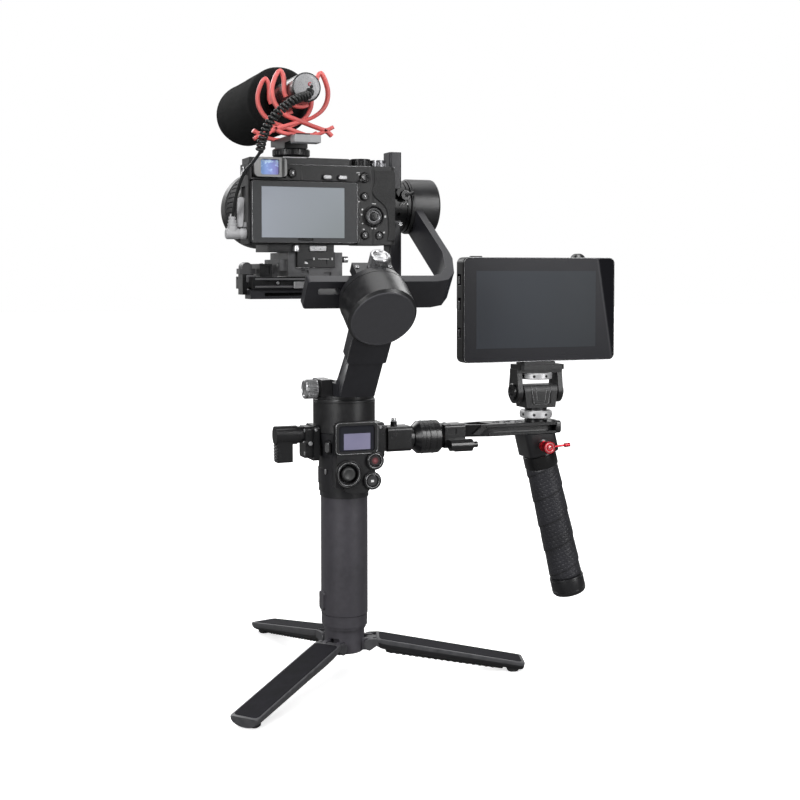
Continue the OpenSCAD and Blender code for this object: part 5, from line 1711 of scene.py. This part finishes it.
def monitor_details():
    # ports on the -x side: height above the lower edge, length
    geo = Geo()
    for z, length in ((22, 6), (44.5, 7), (64.5, 6)):
        geo.plate((-1.3, -length / 2, 1.3, length / 2), 0.6, (97.7, 1, 222.3 + z), 0.8, 0.2,
                  across=-Y)
    geo.build("monitor_ports", EDGE, "monitor", "silver_metal", angle=40)

    def flute(radius, height, turn):
        return radius - (0.25 * (0.5 + 0.5 * cos(turn * 36)) if 0.8 < height < 5.2 else 0)

    geo = Geo()
    geo.lathe((MONITOR_X + 38, -3.1, 302.2), Y,
              [(0, 0), (5.7, 0), (6.3, 0.5), (6.3, 1.2), (6.3, 2.4), (6.3, 3.8), (6.3, 5.0),
               (6.3, 5.7), (5.7, 6.2), (0, 6.2)], 144, ripple=flute)
    geo.build("monitor_wheel", ANODISED, "monitor", "black_metal", angle=50)
    # painted highlight line round the front rim
    geo = Geo()
    geo.tube([(x, -8.0, z) for x, z in rounded((97.65, 221.1, 233.55, 304.8), 4.5, 8)], 0.3, 8,
             closed=True)
    geo.build("monitor_rim_highlight", EDGE, "monitor", "black_metal", angle=60)
    # +y side: battery rails and screws
    geo = Geo()
    for side in (-1, 1):
        geo.plate((-1.5, -22, 1.5, 22), 1.2, (MONITOR_X + side * 27, 14.0, 263), 1.6, 0.4,
                  up=-Z)
    geo.build("battery_rails", ANODISED, "monitor", "black_metal", angle=40)
    geo = Geo()
    for side in (-1, 1):
        for level in (-1, 1):
            geo.screw((MONITOR_X + side * 60, 9.9, 263 + level * 36), Y, 1.6, 0.5)
    geo.build("monitor_screws", EDGE, "monitor", "steel", angle=40)


for make in (grip_covers, camera_buttons, camera_marks, camera_top, camera_edges, plate_stack,
             tilt_details, roll_details, pan_details, panel_rims, joystick, flank_keys,
             clamp_details, arm_clamp_details, side_plate_details, monitor_mount_details,
             monitor_details):
    make()


# ---------------------------------------------------------------- tripod legs
# slots: shell, panel on the flat side, belly with painted shade, sole, and one for steel
SHELL, PANEL, BELLY, SOLE = range(4)
LEG_MATERIALS = [
    two_tone("leg_edge_grey", dark=grey(0.050, 0.054), light=grey(0.085, 0.090),
             cloud=(160, 4), rough=(0.34, 0.46), grain=(2600, 2), strength=0.16,
             depth=0.00012, stretch=True),
    two_tone("leg_panel_dark", dark=grey(0.011, 0.013), light=(0.020, 0.0195, 0.024),
             cloud=(120, 4), rough=(0.70, 0.80), grain=(1900, 2), strength=0.25,
             depth=0.00015, stretch=True, spec=0.10),
    # the belly's darker tone is painted shade on the underside
    two_tone("leg_underside_painted_shade", dark=grey(0.014, 0.015), light=grey(0.024, 0.026),
             cloud=(140, 4), rough=0.45, grain=(1400, 3), strength=0.3, depth=0.00015),
    RUBBER, STEEL]
# rounding of the beam's ends: distance from the end, share of the full width
LEG_END = [(0.0, 0.90), (0.35, 0.955), (1.0, 0.985), (2.0, 1.0), (4.5, 1.0)]


def leg_beam(name, node, degrees):
    """D-section beam falling outwards, flat side up."""
    root, tip, half_width = 25.0, 140.0, 11.5
    fall = 0.1815
    turn = radians(degrees)
    out = Vector((cos(turn), sin(turn), 0))
    side = Vector((-sin(turn), cos(turn), 0))

    def at(reach, y, z):
        return out * reach + side * y + Z * z

    start = at(root, 0, 11.0)
    beam = at(tip, 0, 11.0 - fall * (tip - root)) - start
    length = beam.length
    along = beam.normalized()
    up = along.cross(side)
    geo = Geo()

    # shell: flat top and rounded belly
    def belly_depth(travel, share):
        depth = (10.6 - 2.6 * travel / length) * (0.93 if share < 0.92 else share)
        if travel > 9.0:
            return depth
        if travel < 2.6:
            return depth * (0.46 + 0.15 * travel)
        return depth * (0.85 + 0.15 * (travel - 2.6) / 6.4)

    stations = LEG_END + [(2.0 + (length - 4.0) * i / 12, 1.0) for i in range(1, 12)]
    stations += [(length - travel, share) for travel, share in reversed(LEG_END[:4])]
    arc_steps = 16
    rings = []
    for travel, share in stations:
        width = half_width * share
        depth = belly_depth(travel, share)
        section = [(-width + 0.9, 0.0), (width - 0.9, 0.0), (width - 0.25, -0.25), (width, -0.9)]
        section += [(width * cos(pi * j / arc_steps),
                     -0.9 - (depth - 0.9) * (sin(pi * j / arc_steps) ** 0.8))
                    for j in range(1, arc_steps)]
        section += [(-width, -0.9), (-width + 0.25, -0.25)]
        rings.append(geo.ring([start + along * travel + side * y + up * z for y, z in section]))
    count = len(rings[0])
    for low, high in zip(rings, rings[1:]):
        for k in range(count):
            after = (k + 1) % count
            geo.slot = BELLY if 5 <= k <= arc_steps + 1 else SHELL
            geo.face([low[k], low[after], high[after], high[k]])
    geo.slot = SHELL
    geo.cap(rings)

    geo.slot = PANEL
    geo.plate((2.0, -half_width + 1.5, length - 2.2, half_width - 1.5), 3.2,
              start - up * 0.4, 0.72, 0.28, across=along, up=side)

    # ribbed sole strip, and the foot near the tip
    geo.slot = SOLE
    sole_along = (along * length + up * 2.6).normalized()
    geo.plate((9, -5.6, length - 15, 5.6), 2, start - up * 9.7, 1.45, 0.3,
              across=sole_along, up=-side, steps=4)
    for k in range(17):
        geo.plate((12 + 5 * k, -5.0, 14.6 + 5 * k, 5.0), 0.7, start - up * 10.9, 0.75, 0.2,
                  across=sole_along, up=-side, steps=3)
    geo.plate((-4.5, -7.5, 4.5, 7.5), 3.5, at(tip - 8.5, 0, -13.5), 4.5, 0.8,
              across=out, up=-side)

    # cheeks on both sides of the pin, then the knuckle and web between them
    geo.slot = SHELL
    pin_out, pin_z = 19.5, 6
    cheek = [(pin_out + 4.5 * cos(radians(a)), pin_z + 4.5 * sin(radians(a)))
             for a in range(90, 271, 15)]
    cheek += [(22.0, 3.2), (24.6, 5.0), (26.4, 4.2), (26.4, 10.3), (25.2, 10.7)]
    for y in (-8.25, 8.25 + 2.8):
        geo.prism(cheek, at(0, y, 0), 2.8, 0.35, across=out)
    geo.lathe(at(pin_out, -3.8, pin_z), side,
              [(0, 0), (3.6, 0), (4.0, 0.4), (4.0, 7.2), (3.6, 7.6), (0, 7.6)], 40)
    geo.prism([(19.5, 2.3), (23.4, 3.4), (24.8, 5.2), (27.5, 3.6), (27.5, 10.2), (19.5, 9.7)],
              at(0, 3.6, 0), 7.2, 0.3, across=out)
    geo.build(name, LEG_MATERIALS, node, "grip_plastic", node, angle=32)


leg_beam("right_leg_beam", "leg_right", degrees=-18)
leg_beam("front_leg_beam", "leg_front", degrees=102)
leg_beam("rear_leg_beam", "leg_rear", degrees=222)


# ---------------------------------------------------------------- studio
def studio_world():
    """White backdrop for the camera; a soft dim gradient, brighter behind, lights the rest."""
    world = bpy.data.worlds.new("studio")
    scene.world = world
    world.use_nodes = True
    tree = world.node_tree
    tree.nodes.clear()
    direction = add_node(tree, "TexCoord").outputs["Generated"]
    height = add_node(tree, "SeparateXYZ", {0: direction}).outputs[2]
    # map range inputs: value, from low, from high, to low, to high
    sky = add_node(tree, "MapRange", {0: height, 1: -0.15, 2: 0.95, 3: 0.03, 4: 0.14})
    behind = add_node(tree, "VectorMath", {0: direction, 1: (0.359, 0.933, 0.0)},
                      operation="DOT_PRODUCT").outputs["Value"]
    glow = add_node(tree, "MapRange", {0: behind, 1: 0.45, 2: 0.92, 3: 0.0, 4: 0.75},
                    interpolation_type="SMOOTHSTEP")
    strength = add_node(tree, "Math", {0: sky.outputs[0], 1: glow.outputs[0]}, operation="ADD")
    lighting = add_node(tree, "Background", {0: grey(1.0), 1: strength.outputs[0]})
    backdrop = add_node(tree, "Background", {0: grey(1.0), 1: 1.0})
    camera_ray = add_node(tree, "LightPath").outputs["Is Camera Ray"]
    shader = add_node(tree, "MixShader",
                      {0: camera_ray, 1: lighting.outputs[0], 2: backdrop.outputs[0]})
    add_node(tree, "OutputWorld", {0: shader.outputs[0]})


def studio_floor():
    half, level = 9, -0.0182
    mesh = bpy.data.meshes.new("floor")
    mesh.from_pydata([(-half, -half, level), (half, -half, level), (half, half, level),
                      (-half, half, level)], [], [(0, 1, 2, 3)])
    floor = bpy.data.objects.new("floor", mesh)
    scene.collection.objects.link(floor)
    mat = Mat("pale_floor")
    x, y, _ = mat.xyz()
    camera_ray = mat.node("LightPath").outputs["Is Camera Ray"]
    pale = mat.mix(mat.grain(3.0), grey(0.90), grey(0.94))
    mat.put(base=mat.mix(camera_ray, grey(0.20), pale), rough=0.8, spec=0.05)
    # for the camera the floor glows and fades into the backdrop, so no horizon shows
    far = mat.step(mat.dist((x, 0.05), (y, 0.0)), start=0.30, end=0.95)
    glow = mat.mul(camera_ray, mat.mix_value(far, 0.62, 1.2))
    emission = mat.node("Emission", {0: grey(1), 1: glow})
    both = mat.node("AddShader", {0: mat.bsdf.outputs[0], 1: emission.outputs[0]})
    mat.tree.links.new(both.outputs[0], mat.output.inputs[0])
    mesh.materials.append(mat.material)


def aim(obj, direction):
    obj.rotation_mode = "QUATERNION"
    obj.rotation_quaternion = direction.to_track_quat("-Z", "Y")


def area_light(name, place, target, size, power, size_y=None):
    light = bpy.data.lights.new(name, "AREA")
    light.energy = power
    light.size = size
    if size_y:
        light.shape = "RECTANGLE"
        light.size_y = size_y
    obj = bpy.data.objects.new(name, light)
    scene.collection.objects.link(obj)
    obj.location = place
    aim(obj, Vector(target) - Vector(place))


def soft_light(azimuth, elevation, distance, size, size_y, power):
    """Azimuth in degrees from the camera's side of the product, positive to the camera's right."""
    center_x, center_z = 0.04, 0.22
    turn = radians(23.0 + 180 - azimuth)
    rise = radians(elevation)
    place = (center_x + distance * sin(turn) * cos(rise), distance * cos(turn) * cos(rise),
             center_z + distance * sin(rise))
    area_light("soft", place, (center_x, 0, center_z), size, power, size_y)


def studio_lights():
    soft_light(azimuth=-30, elevation=22, distance=1.5, size=0.42, size_y=1.1, power=15)
    soft_light(azimuth=55, elevation=18, distance=1.5, size=0.36, size_y=1.1, power=11)
    soft_light(azimuth=8, elevation=48, distance=1.5, size=0.8, size_y=0.5, power=4)
    area_light("top", place=(0.05, 0.25, 1.6), target=(0.05, 0, 0.2), size=1.1, power=9)
    soft_light(azimuth=150, elevation=35, distance=1.4, size=0.6, size_y=0.6, power=4)
    soft_light(azimuth=-140, elevation=30, distance=1.4, size=0.6, size_y=0.6, power=4)


def studio_camera():
    lens = bpy.data.cameras.new("cam")
    camera = bpy.data.objects.new("cam", lens)
    scene.collection.objects.link(camera)
    lens.sensor_width = 36
    lens.lens = 56.896
    lens.shift_y = -0.09
    lens.clip_start = 0.05
    lens.clip_end = 60
    camera.location = (-0.30891, -0.92359, 0.29330)
    yaw, tilt = 0.36720, 0.0442
    aim(camera, Vector((sin(yaw) * cos(tilt), cos(yaw) * cos(tilt), -sin(tilt))))
    scene.camera = camera


scene.view_settings.view_transform = "Standard"
scene.view_settings.look = "None"
scene.view_settings.exposure = 0.0
studio_world()
studio_floor()
studio_lights()
studio_camera()
